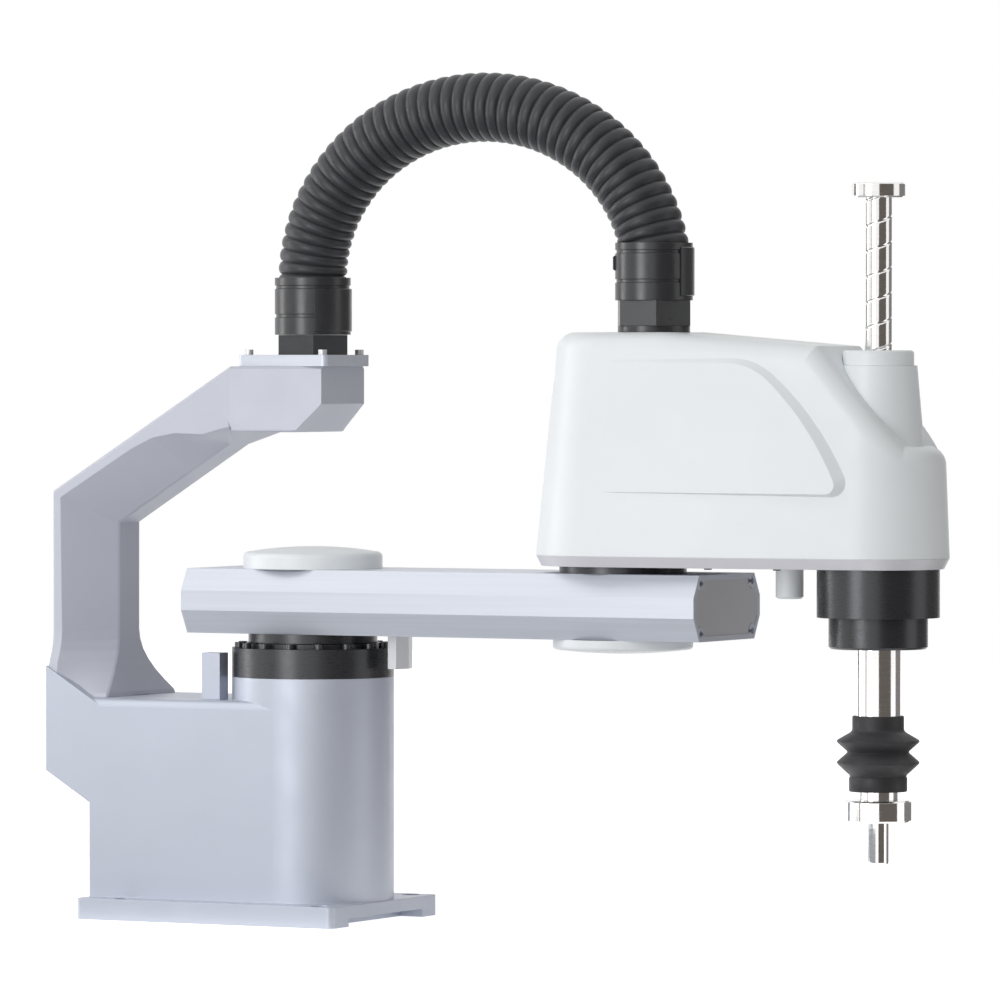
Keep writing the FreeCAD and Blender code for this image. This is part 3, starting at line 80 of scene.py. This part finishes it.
# Quill
SCREW_LEAD = 0.0235
GROOVE_SHARE = 0.05
GROOVE_DEPTH = 0.0007
SHAFT_STEP = 0.0006
SHAFT_CHAMFER = 0.0012
TOOL_R = 0.010
TOOL_ROUND = 0.004
ROUND_SEGMENTS = 96
BELLOWS_BORE_R = 0.0212
BELLOWS_WALL = 0.0009
BELLOWS_PROFILE = ((0.0265, 0.0), (0.027, 0.001), (0.027, 0.0125), (0.0262, 0.0138), (0.0268, 0.0155),
                   (0.0285, 0.0168), (0.0375, 0.0252), (0.0384, 0.0267), (0.0375, 0.0282), (0.0293, 0.0353),
                   (0.0286, 0.0365), (0.0293, 0.0377), (0.0375, 0.0450), (0.0384, 0.0465), (0.0375, 0.0480),
                   (0.0262, 0.0545), (0.0245, 0.0562), (0.0240, 0.0580))

# Small fasteners and contacts
BACKWARDS = Matrix.Rotation(math.radians(-90), 4, "Y")
DOWNWARDS = Matrix.Rotation(math.radians(180), 4, "X")
ROOT = 0.0005
HEAD_SEGMENTS = 36
PIN_SEGMENTS = 12
COLLAR_SEGMENTS = 40
COLLAR_PROFILE = ((0.0036, -0.002), (0.0036, 0.0016), (0.0048, 0.0016), (0.0054, 0.0022), (0.0054, 0.003),
                  (0.0050, 0.0034), (0.0034, 0.0034), (0.0029, 0.0028), (0.0029, -0.002))
PANEL_SCREW_INSET = 0.006
SOCKET_FLOOR = 0.0025
BLADE_PITCH = 0.0085
BLADE_LENGTH = 0.015
BLADE_HALF_WIDTH = 0.001
BLADE_HALF_HEIGHT = 0.004
BLADE_CHAMFER = 0.0004
PIN_COUNT = 12
PIN_PITCH = 0.0031
PIN_ROW = 0.0022
COVER_SCREWS = ((0.115, 0.052), (0.115, -0.052), (0.185, 0.05), (0.185, -0.05))

# Nodes that don't show the finish of their slot: the neck plate screws are machined aluminium; arm 2's floor
# gets a lighter copy of the casting paint as painted light on its shaded rim, and the neck a less metallic,
# lighter copy that paints its highlight weaker and its shaded faces lighter
FINISHES_AND_PAINTED_LIGHT = {"neck_plate_screws": "machined_aluminium", "arm_2_base": "cast_paint_painted_light", "cable_neck": "cast_paint_weaker_highlight"}

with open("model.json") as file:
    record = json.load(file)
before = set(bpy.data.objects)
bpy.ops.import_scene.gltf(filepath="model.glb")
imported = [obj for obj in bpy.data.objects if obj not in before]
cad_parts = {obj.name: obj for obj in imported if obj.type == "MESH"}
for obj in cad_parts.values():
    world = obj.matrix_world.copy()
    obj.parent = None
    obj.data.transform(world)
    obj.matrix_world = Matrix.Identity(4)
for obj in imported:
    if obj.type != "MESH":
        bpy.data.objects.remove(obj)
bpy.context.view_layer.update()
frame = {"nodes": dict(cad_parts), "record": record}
nodes = frame["nodes"]


def middle(node):
    """Centre of a node's box."""
    low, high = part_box(node)
    return (low + high) / 2


J2_X = middle("joint_2_hub").x
J3_X = middle("quill_tube").x
DUCT_FRONT_X = middle("duct_sleeve_front").x


# Camera and studio

def make_camera():
    """The photograph's long lens, a little above the arms."""
    data = bpy.data.cameras.new("camera")
    data.lens = CAMERA_LENS
    data.clip_end = 50
    camera = bpy.data.objects.new("camera", data)
    camera.location = CAMERA_PLACE
    camera.rotation_euler = (math.radians(90 - CAMERA_DOWN), 0, math.radians(CAMERA_AZIMUTH))
    bpy.context.scene.collection.objects.link(camera)
    bpy.context.scene.camera = camera


def area_light(name, place, target, width, height, power, colour):
    """A soft lamp aimed at a point."""
    data = bpy.data.lights.new(name, "AREA")
    data.shape = "RECTANGLE"
    data.size = width
    data.size_y = height
    data.energy = power
    data.color = colour
    lamp = bpy.data.objects.new(name, data)
    lamp.location = place
    lamp.rotation_euler = (Vector(target) - Vector(place)).to_track_quat("-Z", "Y").to_euler()
    bpy.context.scene.collection.objects.link(lamp)


def seen_directly(tree):
    """Is Camera, Glossy or Transmission Ray, as one value."""
    path = tree.nodes.new("ShaderNodeLightPath")
    either = tree.nodes.new("ShaderNodeMath")
    either.operation = "MAXIMUM"
    tree.links.new(path.outputs["Is Camera Ray"], either.inputs[0])
    tree.links.new(path.outputs["Is Glossy Ray"], either.inputs[1])
    third = tree.nodes.new("ShaderNodeMath")
    third.operation = "MAXIMUM"
    tree.links.new(either.outputs[0], third.inputs[0])
    tree.links.new(path.outputs["Is Transmission Ray"], third.inputs[1])
    return third.outputs[0]


def make_world():
    """White where it is seen, softer where it lights."""
    world = bpy.data.worlds.new("studio")
    bpy.context.scene.world = world
    world.use_nodes = True
    tree = world.node_tree
    background = tree.nodes["Background"]
    background.inputs["Color"].default_value = (1, 1, 1, 1)
    strength = tree.nodes.new("ShaderNodeMapRange")
    strength.inputs["To Min"].default_value = WORLD_STRENGTH
    strength.inputs["To Max"].default_value = 1.0
    tree.links.new(seen_directly(tree), strength.inputs["Value"])
    tree.links.new(strength.outputs["Result"], background.inputs["Strength"])


def make_floor():
    """A pale floor that stays white round the faint shadow."""
    mesh = bpy.data.meshes.new("floor")
    shape = bmesh.new()
    bmesh.ops.create_grid(shape, x_segments=2, y_segments=2, size=6.0)
    shape.to_mesh(mesh)
    shape.free()
    floor = bpy.data.objects.new("floor", mesh)
    bpy.context.scene.collection.objects.link(floor)
    floor.location.z = -FLOOR_DROP
    material = bpy.data.materials.new("floor_paint")
    material.use_nodes = True
    tree = material.node_tree
    principled = tree.nodes["Principled BSDF"]
    principled.inputs["Base Color"].default_value = (FLOOR_ALBEDO, FLOOR_ALBEDO, FLOOR_ALBEDO, 1)
    principled.inputs["Roughness"].default_value = 0.9
    principled.inputs["Specular IOR Level"].default_value = 0.0
    glow = tree.nodes.new("ShaderNodeEmission")
    glow.inputs["Strength"].default_value = FLOOR_GLOW
    lit = tree.nodes.new("ShaderNodeAddShader")
    tree.links.new(principled.outputs[0], lit.inputs[0])
    tree.links.new(glow.outputs[0], lit.inputs[1])
    choice = tree.nodes.new("ShaderNodeMixShader")
    tree.links.new(seen_directly(tree), choice.inputs["Fac"])
    tree.links.new(principled.outputs[0], choice.inputs[1])
    tree.links.new(lit.outputs[0], choice.inputs[2])
    tree.links.new(choice.outputs[0], tree.nodes["Material Output"].inputs["Surface"])
    mesh.materials.append(material)


def around(turn, rise, distance=1.0):
    """A direction by degrees to the right of the camera and degrees up."""
    heading = math.radians(CAMERA_AZIMUTH - 90 + turn)
    level = math.cos(math.radians(rise)) * distance
    height = math.sin(math.radians(rise)) * distance
    return Vector((level * math.cos(heading), level * math.sin(heading), height))


def reflection_shade_object(name, shape, shade):
    """A glowing dark card that only reflections show, painting shade into them."""
    mesh = bpy.data.meshes.new(name)
    shape.to_mesh(mesh)
    shape.free()
    material = bpy.data.materials.new(name)
    material.use_nodes = True
    tree = material.node_tree
    tree.nodes.remove(tree.nodes["Principled BSDF"])
    # The card glows its shade and shows only in reflections: a painted dark reflection that blocks no light
    glow = tree.nodes.new("ShaderNodeEmission")
    glow.inputs["Color"].default_value = (*shade, 1)
    tree.links.new(glow.outputs[0], tree.nodes["Material Output"].inputs["Surface"])
    mesh.materials.append(material)
    card = bpy.data.objects.new(name, mesh)
    bpy.context.scene.collection.objects.link(card)
    for kind in ("visible_camera", "visible_diffuse", "visible_shadow", "visible_transmission"):
        setattr(card, kind, False)


def low_reflection_shade(shade):
    """A card on the floor in front that paints a dark reflection into the facets that face down."""
    shape = bmesh.new()
    shape.faces.new([shape.verts.new((x, y, 0.001)) for x, y in LOW_REFLECTION_SHADE_CORNERS])
    reflection_shade_object("reflection_shade_low", shape, shade)


def reflection_shade_card(name, first, last, shade):
    """A curved card that stands round the object, with a foot towards it, painting a dark reflection."""
    shape = bmesh.new()
    rows = []
    for turn in range(first, last + 1, 5):
        foot = around(turn, 0, REFLECTION_SHADE_RADIUS) + REFLECTION_SHADE_CENTRE
        near = around(turn, 0, REFLECTION_SHADE_NEAR) + REFLECTION_SHADE_CENTRE
        rows.append([shape.verts.new(point) for point in (near, foot, foot + Vector((0, 0, REFLECTION_SHADE_HEIGHT)))])
    for (a, b, c), (d, e, f) in zip(rows, rows[1:]):
        shape.faces.new((a, d, e, b))
        shape.faces.new((b, e, f, c))
    reflection_shade_object(name, shape, shade)


def make_lights():
    """A key at the left, one at the far left, a top light, and cards mostly on the right that paint dark
    reflections.
    """
    target = Vector((0.2, 0, 0.4))
    for name, direction, width, height, power, colour in LAMPS:
        area_light(name, target + around(*direction), target, width, height, power, colour)
    for name, first, last, shade in REFLECTION_SHADES:
        reflection_shade_card(name, first, last, shade)
    low_reflection_shade(LOW_REFLECTION_SHADE_COLOUR)


# Materials

class Surface:
    """A procedural material built step by step."""

    def __init__(self, name, colour, roughness, metallic=0.0, **sockets):
        self.material = bpy.data.materials.new(name)
        self.material.use_nodes = True
        self.tree = self.material.node_tree
        self.shader = self.tree.nodes["Principled BSDF"]
        self.colour = colour
        self.roughness = roughness
        self.shader.inputs["Base Color"].default_value = (*colour, 1)
        self.shader.inputs["Roughness"].default_value = roughness
        self.shader.inputs["Metallic"].default_value = metallic
        for socket, value in sockets.items():
            self.shader.inputs[socket.replace("_", " ")].default_value = value
        self.place = self.tree.nodes.new("ShaderNodeTexCoord").outputs["Object"]
        self.normal = None

    def link(self, source, target):
        self.tree.links.new(source, target)

    def scaled(self, factors):
        """Object coordinates stretched along the axes."""
        mapping = self.tree.nodes.new("ShaderNodeMapping")
        mapping.inputs["Scale"].default_value = factors
        self.link(self.place, mapping.inputs["Vector"])
        return mapping.outputs["Vector"]

    def noise(self, scale, detail=3.0, stretch=None):
        """Fractal noise, stretched if asked."""
        node = self.tree.nodes.new("ShaderNodeTexNoise")
        node.inputs["Scale"].default_value = scale
        node.inputs["Detail"].default_value = detail
        self.link(self.scaled(stretch) if stretch else self.place, node.inputs["Vector"])
        return node.outputs["Fac"]

    def ranged(self, value, low, high, source=(0.3, 0.7)):
        """A value mapped to a range."""
        node = self.tree.nodes.new("ShaderNodeMapRange")
        node.inputs["From Min"].default_value = source[0]
        node.inputs["From Max"].default_value = source[1]
        node.inputs["To Min"].default_value = low
        node.inputs["To Max"].default_value = high
        self.link(value, node.inputs["Value"])
        return node.outputs["Result"]

    def bevelled(self, radius):
        """Softens the edges in the shading."""
        node = self.tree.nodes.new("ShaderNodeBevel")
        node.samples = 4
        node.inputs["Radius"].default_value = radius
        self.normal = node.outputs["Normal"]
        self.link(self.normal, self.shader.inputs["Normal"])
        return self

    def bumped(self, height, distance, strength=1.0):
        """Adds a bump on top of the normal so far."""
        node = self.tree.nodes.new("ShaderNodeBump")
        node.inputs["Distance"].default_value = distance
        node.inputs["Strength"].default_value = strength
        self.link(height, node.inputs["Height"])
        if self.normal:
            self.link(self.normal, node.inputs["Normal"])
        self.normal = node.outputs["Normal"]
        self.link(self.normal, self.shader.inputs["Normal"])
        return self

    def mottled(self, value, amount):
        """Varies the colour by a value, around the written one."""
        mix = self.tree.nodes.new("ShaderNodeMix")
        mix.data_type = "RGBA"
        mix.inputs[6].default_value = (*(max(0.0, c * (1 - amount)) for c in self.colour), 1)
        mix.inputs[7].default_value = (*(min(1.0, c * (1 + amount)) for c in self.colour), 1)
        self.link(value, mix.inputs[0])
        self.base = mix.outputs[2]
        self.link(self.base, self.shader.inputs["Base Color"])
        return self

    def edge_worn(self, radius, colour, amount):
        """Lightens the sharp edges, where handling rubs them."""
        bevel = self.tree.nodes.new("ShaderNodeBevel")
        bevel.samples = 4
        bevel.inputs["Radius"].default_value = radius
        geometry = self.tree.nodes.new("ShaderNodeNewGeometry")
        dot = self.tree.nodes.new("ShaderNodeVectorMath")
        dot.operation = "DOT_PRODUCT"
        self.link(bevel.outputs["Normal"], dot.inputs[0])
        self.link(geometry.outputs["Normal"], dot.inputs[1])
        mask = self.ranged(dot.outputs["Value"], amount, 0.0, (0.8, 0.98))
        mix = self.tree.nodes.new("ShaderNodeMix")
        mix.data_type = "RGBA"
        mix.inputs[7].default_value = (*colour, 1)
        self.link(mask, mix.inputs[0])
        self.link(self.base, mix.inputs[6])
        self.link(mix.outputs[2], self.shader.inputs["Base Color"])
        return self

    def varied_roughness(self, value, spread):
        """Varies the roughness around the written one."""
        self.link(self.ranged(value, self.roughness - spread, self.roughness + spread),
                  self.shader.inputs["Roughness"])
        return self


def painted_metal(name, colour, metallic, roughness):
    """Sprayed metal paint with orange peel, faint cloudiness and rubbed edges."""
    surface = Surface(name, colour, roughness, metallic, Coat_Weight=0.15, Coat_Roughness=0.2)
    surface.mottled(surface.ranged(surface.noise(7.0), 0.0, 1.0), 0.025)
    surface.edge_worn(0.0012, tuple(min(1.0, c * 1.25) for c in colour), 0.55)
    surface.varied_roughness(surface.noise(35.0), 0.04)
    surface.bevelled(0.0012)
    return surface.bumped(surface.noise(420.0, 4.0), 0.00012, 0.5).material


def brushed_metal(name, colour, roughness, stretch, scale=60.0, depth=0.00004, metallic=1.0, specular=0.5):
    """Metal with fine lines along the axis that isn't stretched."""
    surface = Surface(name, colour, roughness, metallic, Specular_IOR_Level=specular)
    lines = surface.noise(scale, 4.0, stretch)
    surface.mottled(surface.ranged(lines, 0.0, 1.0), 0.04)
    surface.varied_roughness(lines, 0.05)
    surface.bevelled(0.0006)
    return surface.bumped(lines, depth, 0.5).material


def moulded_plastic(name, colour, roughness, grain=900.0, depth=0.00006, specular=0.45):
    """Moulded plastic with spark-eroded grain."""
    surface = Surface(name, colour, roughness, Specular_IOR_Level=specular)
    surface.mottled(surface.ranged(surface.noise(9.0), 0.0, 1.0), 0.02)
    surface.varied_roughness(surface.noise(60.0), 0.03)
    surface.bevelled(0.001)
    return surface.bumped(surface.noise(grain, 5.0), depth, 0.4).material


def rubber(name, colour, roughness, depth):
    """Dull rubber with dust in its pores."""
    surface = Surface(name, colour, roughness, Sheen_Weight=0.12, Sheen_Roughness=0.5, Specular_IOR_Level=0.4)
    surface.mottled(surface.ranged(surface.noise(40.0, 5.0), 0.0, 1.0), 0.12)
    surface.varied_roughness(surface.noise(120.0), 0.06)
    surface.bevelled(0.0008)
    return surface.bumped(surface.noise(700.0, 5.0), depth, 0.5).material


def make_materials():
    """One material for each slot of the record."""
    return {
        "cast_paint": painted_metal("cast_paint", (0.56, 0.59, 0.67), 0.5, 0.5),
        # A less metallic, slightly lighter copy of the casting paint: painted light that weakens the neck's
        # highlight and lightens its shaded faces
        "cast_paint_weaker_highlight": painted_metal("cast_paint_weaker_highlight", (0.58, 0.6, 0.67), 0.12, 0.55),
        # A lighter copy of the casting paint: painted light for arm 2's downward-facing rim, which gets little
        # light
        "cast_paint_painted_light": painted_metal("cast_paint_painted_light", (0.76, 0.75, 0.79), 0.15, 0.45),
        "arm_aluminium": brushed_metal("arm_aluminium", (0.66, 0.69, 0.76), 0.42, (0.02, 1, 1), 220.0,
                                       0.00003, 0.3),
        "machined_aluminium": brushed_metal("machined_aluminium", (0.68, 0.68, 0.7), 0.42, (1, 1, 12), 320.0,
                                            0.00001, 0.6),
        "white_plastic": moulded_plastic("white_plastic", (0.885, 0.915, 0.93), 0.4),
        "black_plastic": moulded_plastic("black_plastic", (0.03, 0.031, 0.034), 0.3, 1200.0, specular=0.6),
        "duct_rubber": rubber("duct_rubber", (0.03, 0.031, 0.036), 0.42, 0.00008),
        "bellows_rubber": rubber("bellows_rubber", (0.028, 0.028, 0.031), 0.5, 0.0001),
        "belt_rubber": rubber("belt_rubber", (0.02, 0.02, 0.021), 0.7, 0.0001),
        "black_anodised": brushed_metal("black_anodised", (0.034, 0.035, 0.04), 0.3, (1, 1, 8), 160.0,
                                        0.00002, 0.3, 0.75),
        "motor_black": painted_metal("motor_black", (0.03, 0.03, 0.032), 0.0, 0.45),
        "gear_steel": brushed_metal("gear_steel", (0.5, 0.5, 0.52), 0.3, (1, 1, 6), 80.0),
        "pulley_aluminium": brushed_metal("pulley_aluminium", (0.7, 0.71, 0.73), 0.3, (1, 1, 8), 80.0),
        "polished_steel": brushed_metal("polished_steel", (0.9, 0.89, 0.88), 0.1, (1, 1, 10), 90.0, 0.00001),
        "screw_steel": brushed_metal("screw_steel", (0.09, 0.09, 0.095), 0.35, (1, 1, 8), 200.0, 0.00002, 0.8),
        "panel_sheet": painted_metal("panel_sheet", (0.35, 0.36, 0.38), 0.2, 0.45),
        "fitting_brass": brushed_metal("fitting_brass", (0.66, 0.55, 0.33), 0.25, (1, 1, 8), 120.0),
    }


def dress_nodes(materials):
    """Gives every carried-over node the material of its slot."""
    for entry in frame["record"]["subparts"]:
        mesh = nodes[entry["node"]].data
        mesh.materials.clear()
        mesh.materials.append(materials[FINISHES_AND_PAINTED_LIGHT.get(entry["node"], entry["material_slot"])])


# Pieces

def add_piece(name, shape, body, slot, smooth=30.0):
    """Turns a bmesh into a named piece that rides on a body."""
    mesh = bpy.data.meshes.new(name)
    bmesh.ops.recalc_face_normals(shape, faces=shape.faces)
    shape.to_mesh(mesh)
    shape.free()
    piece = bpy.data.objects.new(name, mesh)
    bpy.context.scene.collection.objects.link(piece)
    mesh.materials.append(materials[slot])
    mesh.shade_smooth()
    mesh.set_sharp_from_angle(angle=math.radians(smooth))
    if body:
        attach(piece, body)
    return piece


def angles(segments):
    """Equal angles round a circle."""
    return [2 * math.pi * k / segments for k in range(segments)]


def skin(shape, rings, closed=False):
    """Faces between rings of as many points each; the last ring joins the first, or both ends get a cap."""
    pairs = list(zip(rings, rings[1:])) + ([(rings[-1], rings[0])] if closed else [])
    for low, high in pairs:
        for k in range(len(low)):
            n = (k + 1) % len(low)
            shape.faces.new((low[k], low[n], high[n], high[k]))
    if not closed:
        shape.faces.new(list(reversed(rings[0])))
        shape.faces.new(rings[-1])


def turned_rings(shape, place, profile, segments):
    """Rings of points from radius and height pairs, on a place given as a matrix."""
    return [[shape.verts.new(place @ Vector((radius * math.cos(a), radius * math.sin(a), z)))
             for a in angles(segments)] for radius, z in profile]


def sweep(centres, headings, radii, segments):
    """A capped tube with rings of given radii across a plane path."""
    shape = bmesh.new()
    rings = []
    side = Vector((0, 1, 0))
    for centre, heading, radius in zip(centres, headings, radii):
        up = heading.cross(side).normalized()
        rings.append([shape.verts.new(centre + (side * math.cos(a) + up * math.sin(a)) * radius)
                      for a in angles(segments)])
    skin(shape, rings)
    return shape


def duct_path(steps):
    """Centres and headings along the arch, from inside one sleeve to inside the other."""
    rear_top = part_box("duct_sleeve_rear")[1].z
    front_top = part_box("duct_sleeve_front")[1].z
    centre_z = rear_top - DUCT_SINK
    span = DUCT_FRONT_X / (1 + math.sqrt(1 - ((front_top - DUCT_SEAT / 2 - centre_z) / DUCT_RISE) ** 2))
    first = math.asin((rear_top - DUCT_SEAT - centre_z) / DUCT_RISE)
    last = math.pi - math.asin((front_top - DUCT_SEAT - centre_z) / DUCT_RISE)
    centres = []
    headings = []
    for k in range(steps + 1):
        angle = first + (last - first) * k / steps
        centres.append(Vector((span * (1 - math.cos(angle)), 0, centre_z + DUCT_RISE * math.sin(angle))))
        headings.append(Vector((span * math.sin(angle), 0, DUCT_RISE * math.cos(angle))).normalized())
    return centres, headings


def make_duct():
    """Corrugated hose with rounded ribs and narrow valleys."""
    steps = DUCT_RIBS * DUCT_RIB_STEPS
    centres, headings = duct_path(steps)
    depth = DUCT_CREST_R - DUCT_VALLEY_R
    radii = [DUCT_VALLEY_R + depth * abs(math.sin(math.pi * k / DUCT_RIB_STEPS)) ** DUCT_RIB_FULLNESS
             for k in range(steps + 1)]
    hose = add_piece("duct_hose", sweep(centres, headings, radii, DUCT_SEGMENTS), None, "duct_rubber", 50.0)
    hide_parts("cable_duct")
    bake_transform(hose)


def make_shaft():
    """Ball screw shaft with its helical groove."""
    low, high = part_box("quill_shaft")
    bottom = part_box("bottom_collar")[0].z
    radius = (high.x - low.x) / 2
    count = int((high.z - bottom) / SHAFT_STEP)
    rows = [(TOOL_R - TOOL_ROUND + TOOL_ROUND * math.sin(a), low.z + TOOL_ROUND - TOOL_ROUND * math.cos(a), 0)
            for a in (math.radians(turn) for turn in range(0, 91, 15))]
    rows += [(TOOL_R, bottom, 0), (radius, bottom, 0)]
    rows += [(radius, bottom + SHAFT_STEP * k, 1) for k in range(1, count)]
    rows += [(radius, high.z - SHAFT_CHAMFER, 0), (radius - SHAFT_CHAMFER, high.z, 0)]
    shape = bmesh.new()
    rings = []
    for r, z, cut in rows:
        ring = []
        for a in angles(ROUND_SEGMENTS):
            depth = 0.0
            if cut:
                phase = (z / SCREW_LEAD - a / (2 * math.pi)) % 1.0
                depth = GROOVE_DEPTH * math.sqrt(max(0.0, 1 - ((phase - 0.5) / GROOVE_SHARE) ** 2))
            ring.append(shape.verts.new((J3_X + (r - depth) * math.cos(a), (r - depth) * math.sin(a), z)))
        rings.append(ring)
    skin(shape, rings)
    shaft = add_piece("ball_screw_shaft", shape, "quill", "polished_steel", 35.0)
    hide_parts("quill_shaft")


def make_bellows():
    """Rubber bellows with rounded folds and cuffs."""
    low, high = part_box("bellows")
    height = high.z - low.z
    outer = [(r, low.z + z) for r, z in (*BELLOWS_PROFILE, (0.0240, height - 0.001), (0.0234, height))]
    profile = outer + [(BELLOWS_BORE_R, z) for z in (high.z, low.z + BELLOWS_WALL, low.z)]
    shape = bmesh.new()
    skin(shape, turned_rings(shape, Matrix.Translation((J3_X, 0, 0)), profile, ROUND_SEGMENTS), closed=True)
    bellows = add_piece("bellows_skin", shape, "quill", "bellows_rubber", 40.0)
    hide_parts("bellows")


def shell_patch(name, body, slot, x, radius, thickness, first, last, low, high):
    """A raised curved plate on a round part, between two angles from the camera's side."""
    shape = bmesh.new()
    steps = max(3, int((last - first) / 5))
    rows = []
    for k in range(steps + 1):
        heading = around(first + (last - first) * k / steps, 0)
        section = [(radius - thickness, low), (radius + thickness * 0.4, low),
                   (radius + thickness, low + thickness * 0.6), (radius + thickness, high - thickness * 0.6),
                   (radius + thickness * 0.4, high), (radius - thickness, high)]
        rows.append([shape.verts.new((x + r * heading.x, r * heading.y, z)) for r, z in section])
    skin(shape, rows)
    add_piece(name, shape, body, slot, 40.0)


def make_sleeve_latches():
    """Latches of the two duct sleeves."""
    low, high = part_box("duct_sleeve_rear")
    radius = (high.y - low.y) / 2
    shell_patch("sleeve_latch_rear", "arm_1", "black_plastic", 0.0, radius, 0.0011, 4, 112, low.z + 0.003,
                high.z - 0.0105)
    low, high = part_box("duct_sleeve_front")
    radius = (high.y - low.y) / 2
    shell_patch("sleeve_latch_front", "arm_2", "black_plastic", DUCT_FRONT_X, radius, 0.0016, 42, 118,
                low.z + 0.004, high.z - 0.004)
    shell_patch("sleeve_tab_front", "arm_2", "black_plastic", DUCT_FRONT_X, radius, 0.0022, -96, -84,
                high.z - 0.026, high.z - 0.012)


def add_head(shape, place, radius, height, socket):
    """A screw head with a hexagon socket, on a place given as a matrix whose z axis points outwards."""
    rings = []
    for reach, z, six in ((radius, -0.0004, 0), (radius, 0.65 * height, 0), (0.85 * radius, height, 0),
                          (socket, height, 1), (socket, 0.4 * height, 1)):
        ring = []
        for a in angles(HEAD_SEGMENTS):
            r = reach * math.cos(math.pi / 6) / math.cos(a % (math.pi / 3) - math.pi / 6) if six else reach
            ring.append(shape.verts.new(place @ Vector((r * math.cos(a), r * math.sin(a), z))))
        rings.append(ring)
    skin(shape, rings)


def add_pin(shape, place, radius, length):
    """A pin with a rounded end, on a place given as a matrix."""
    profile = [(radius, -ROOT), (radius, length - radius), (0.7 * radius, length - 0.3 * radius),
               (0.2 * radius, length)]
    skin(shape, turned_rings(shape, place, profile, PIN_SEGMENTS))


def add_collar(shape, place):
    """The push-in release collar of an air fitting, open in the middle."""
    skin(shape, turned_rings(shape, place, COLLAR_PROFILE, COLLAR_SEGMENTS), closed=True)


def add_blade(shape, low, high, chamfer):
    """A contact blade with a chamfered edge all round."""
    made = bmesh.ops.create_cube(shape, size=1.0)
    size = high - low
    bmesh.ops.scale(shape, vec=size, verts=made["verts"])
    bmesh.ops.translate(shape, vec=(low + high) / 2, verts=made["verts"])
    edges = list(dict.fromkeys(edge for vert in made["verts"] for edge in vert.link_edges))
    bmesh.ops.bevel(shape, geom=edges, offset=chamfer, segments=2, affect="EDGES", profile=0.5)


def make_panel_details():
    """Screws, contacts and release collars of the connector panel."""
    low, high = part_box("connector_panel")
    screws = bmesh.new()
    for y in (low.y + PANEL_SCREW_INSET, high.y - PANEL_SCREW_INSET):
        for z in (low.z + PANEL_SCREW_INSET, high.z - PANEL_SCREW_INSET):
            add_head(screws, Matrix.Translation((low.x, y, z)) @ BACKWARDS, 0.0028, 0.0018, 0.0012)
    add_piece("panel_screws", screws, "root", "gear_steel")
    first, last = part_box("power_connector")
    floor_x = last.x - SOCKET_FLOOR
    centre = (first + last) / 2
    blades = bmesh.new()
    for y in (-BLADE_PITCH, 0.0, BLADE_PITCH):
        add_blade(blades, Vector((floor_x - BLADE_LENGTH, centre.y + y - BLADE_HALF_WIDTH,
                                  centre.z - BLADE_HALF_HEIGHT)),
                  Vector((floor_x + ROOT, centre.y + y + BLADE_HALF_WIDTH,
                          centre.z + BLADE_HALF_HEIGHT)), BLADE_CHAMFER)
    add_piece("power_contacts", blades, "root", "pulley_aluminium")
    first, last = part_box("signal_connector")
    centre = (first + last) / 2
    pins = bmesh.new()
    for row in (-1, 1):
        for k in range(PIN_COUNT):
            y = centre.y + (k - (PIN_COUNT - 1) / 2) * PIN_PITCH
            place = Matrix.Translation((floor_x, y, centre.z + row * PIN_ROW)) @ BACKWARDS
            add_pin(pins, place, 0.0006, 0.013)
    add_piece("signal_contacts", pins, "root", "fitting_brass")
    first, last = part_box("air_fittings")
    half = (last.z - first.z) / 2
    collars = bmesh.new()
    for y in (first.y + half, last.y - half):
        add_collar(collars, Matrix.Translation((first.x, y, (first.z + last.z) / 2)) @ BACKWARDS)
    add_piece("air_release_collars", collars, "root", "black_plastic")


def make_underside_screws():
    """Screws that hold the cover to the floor of arm 2 from below."""
    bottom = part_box("arm_2_base")[0].z
    screws = bmesh.new()
    for x, y in COVER_SCREWS:
        add_head(screws, Matrix.Translation((J2_X + x, y, bottom)) @ DOWNWARDS, 0.0038, 0.0016, 0.0017)
    add_piece("cover_screws", screws, "arm_2", "screw_steel")


make_camera()
make_world()
make_floor()
make_lights()
bpy.context.scene.view_settings.view_transform = "Standard"
materials = make_materials()
dress_nodes(materials)
make_duct()
make_shaft()
make_bellows()
make_sleeve_latches()
make_panel_details()
make_underside_screws()
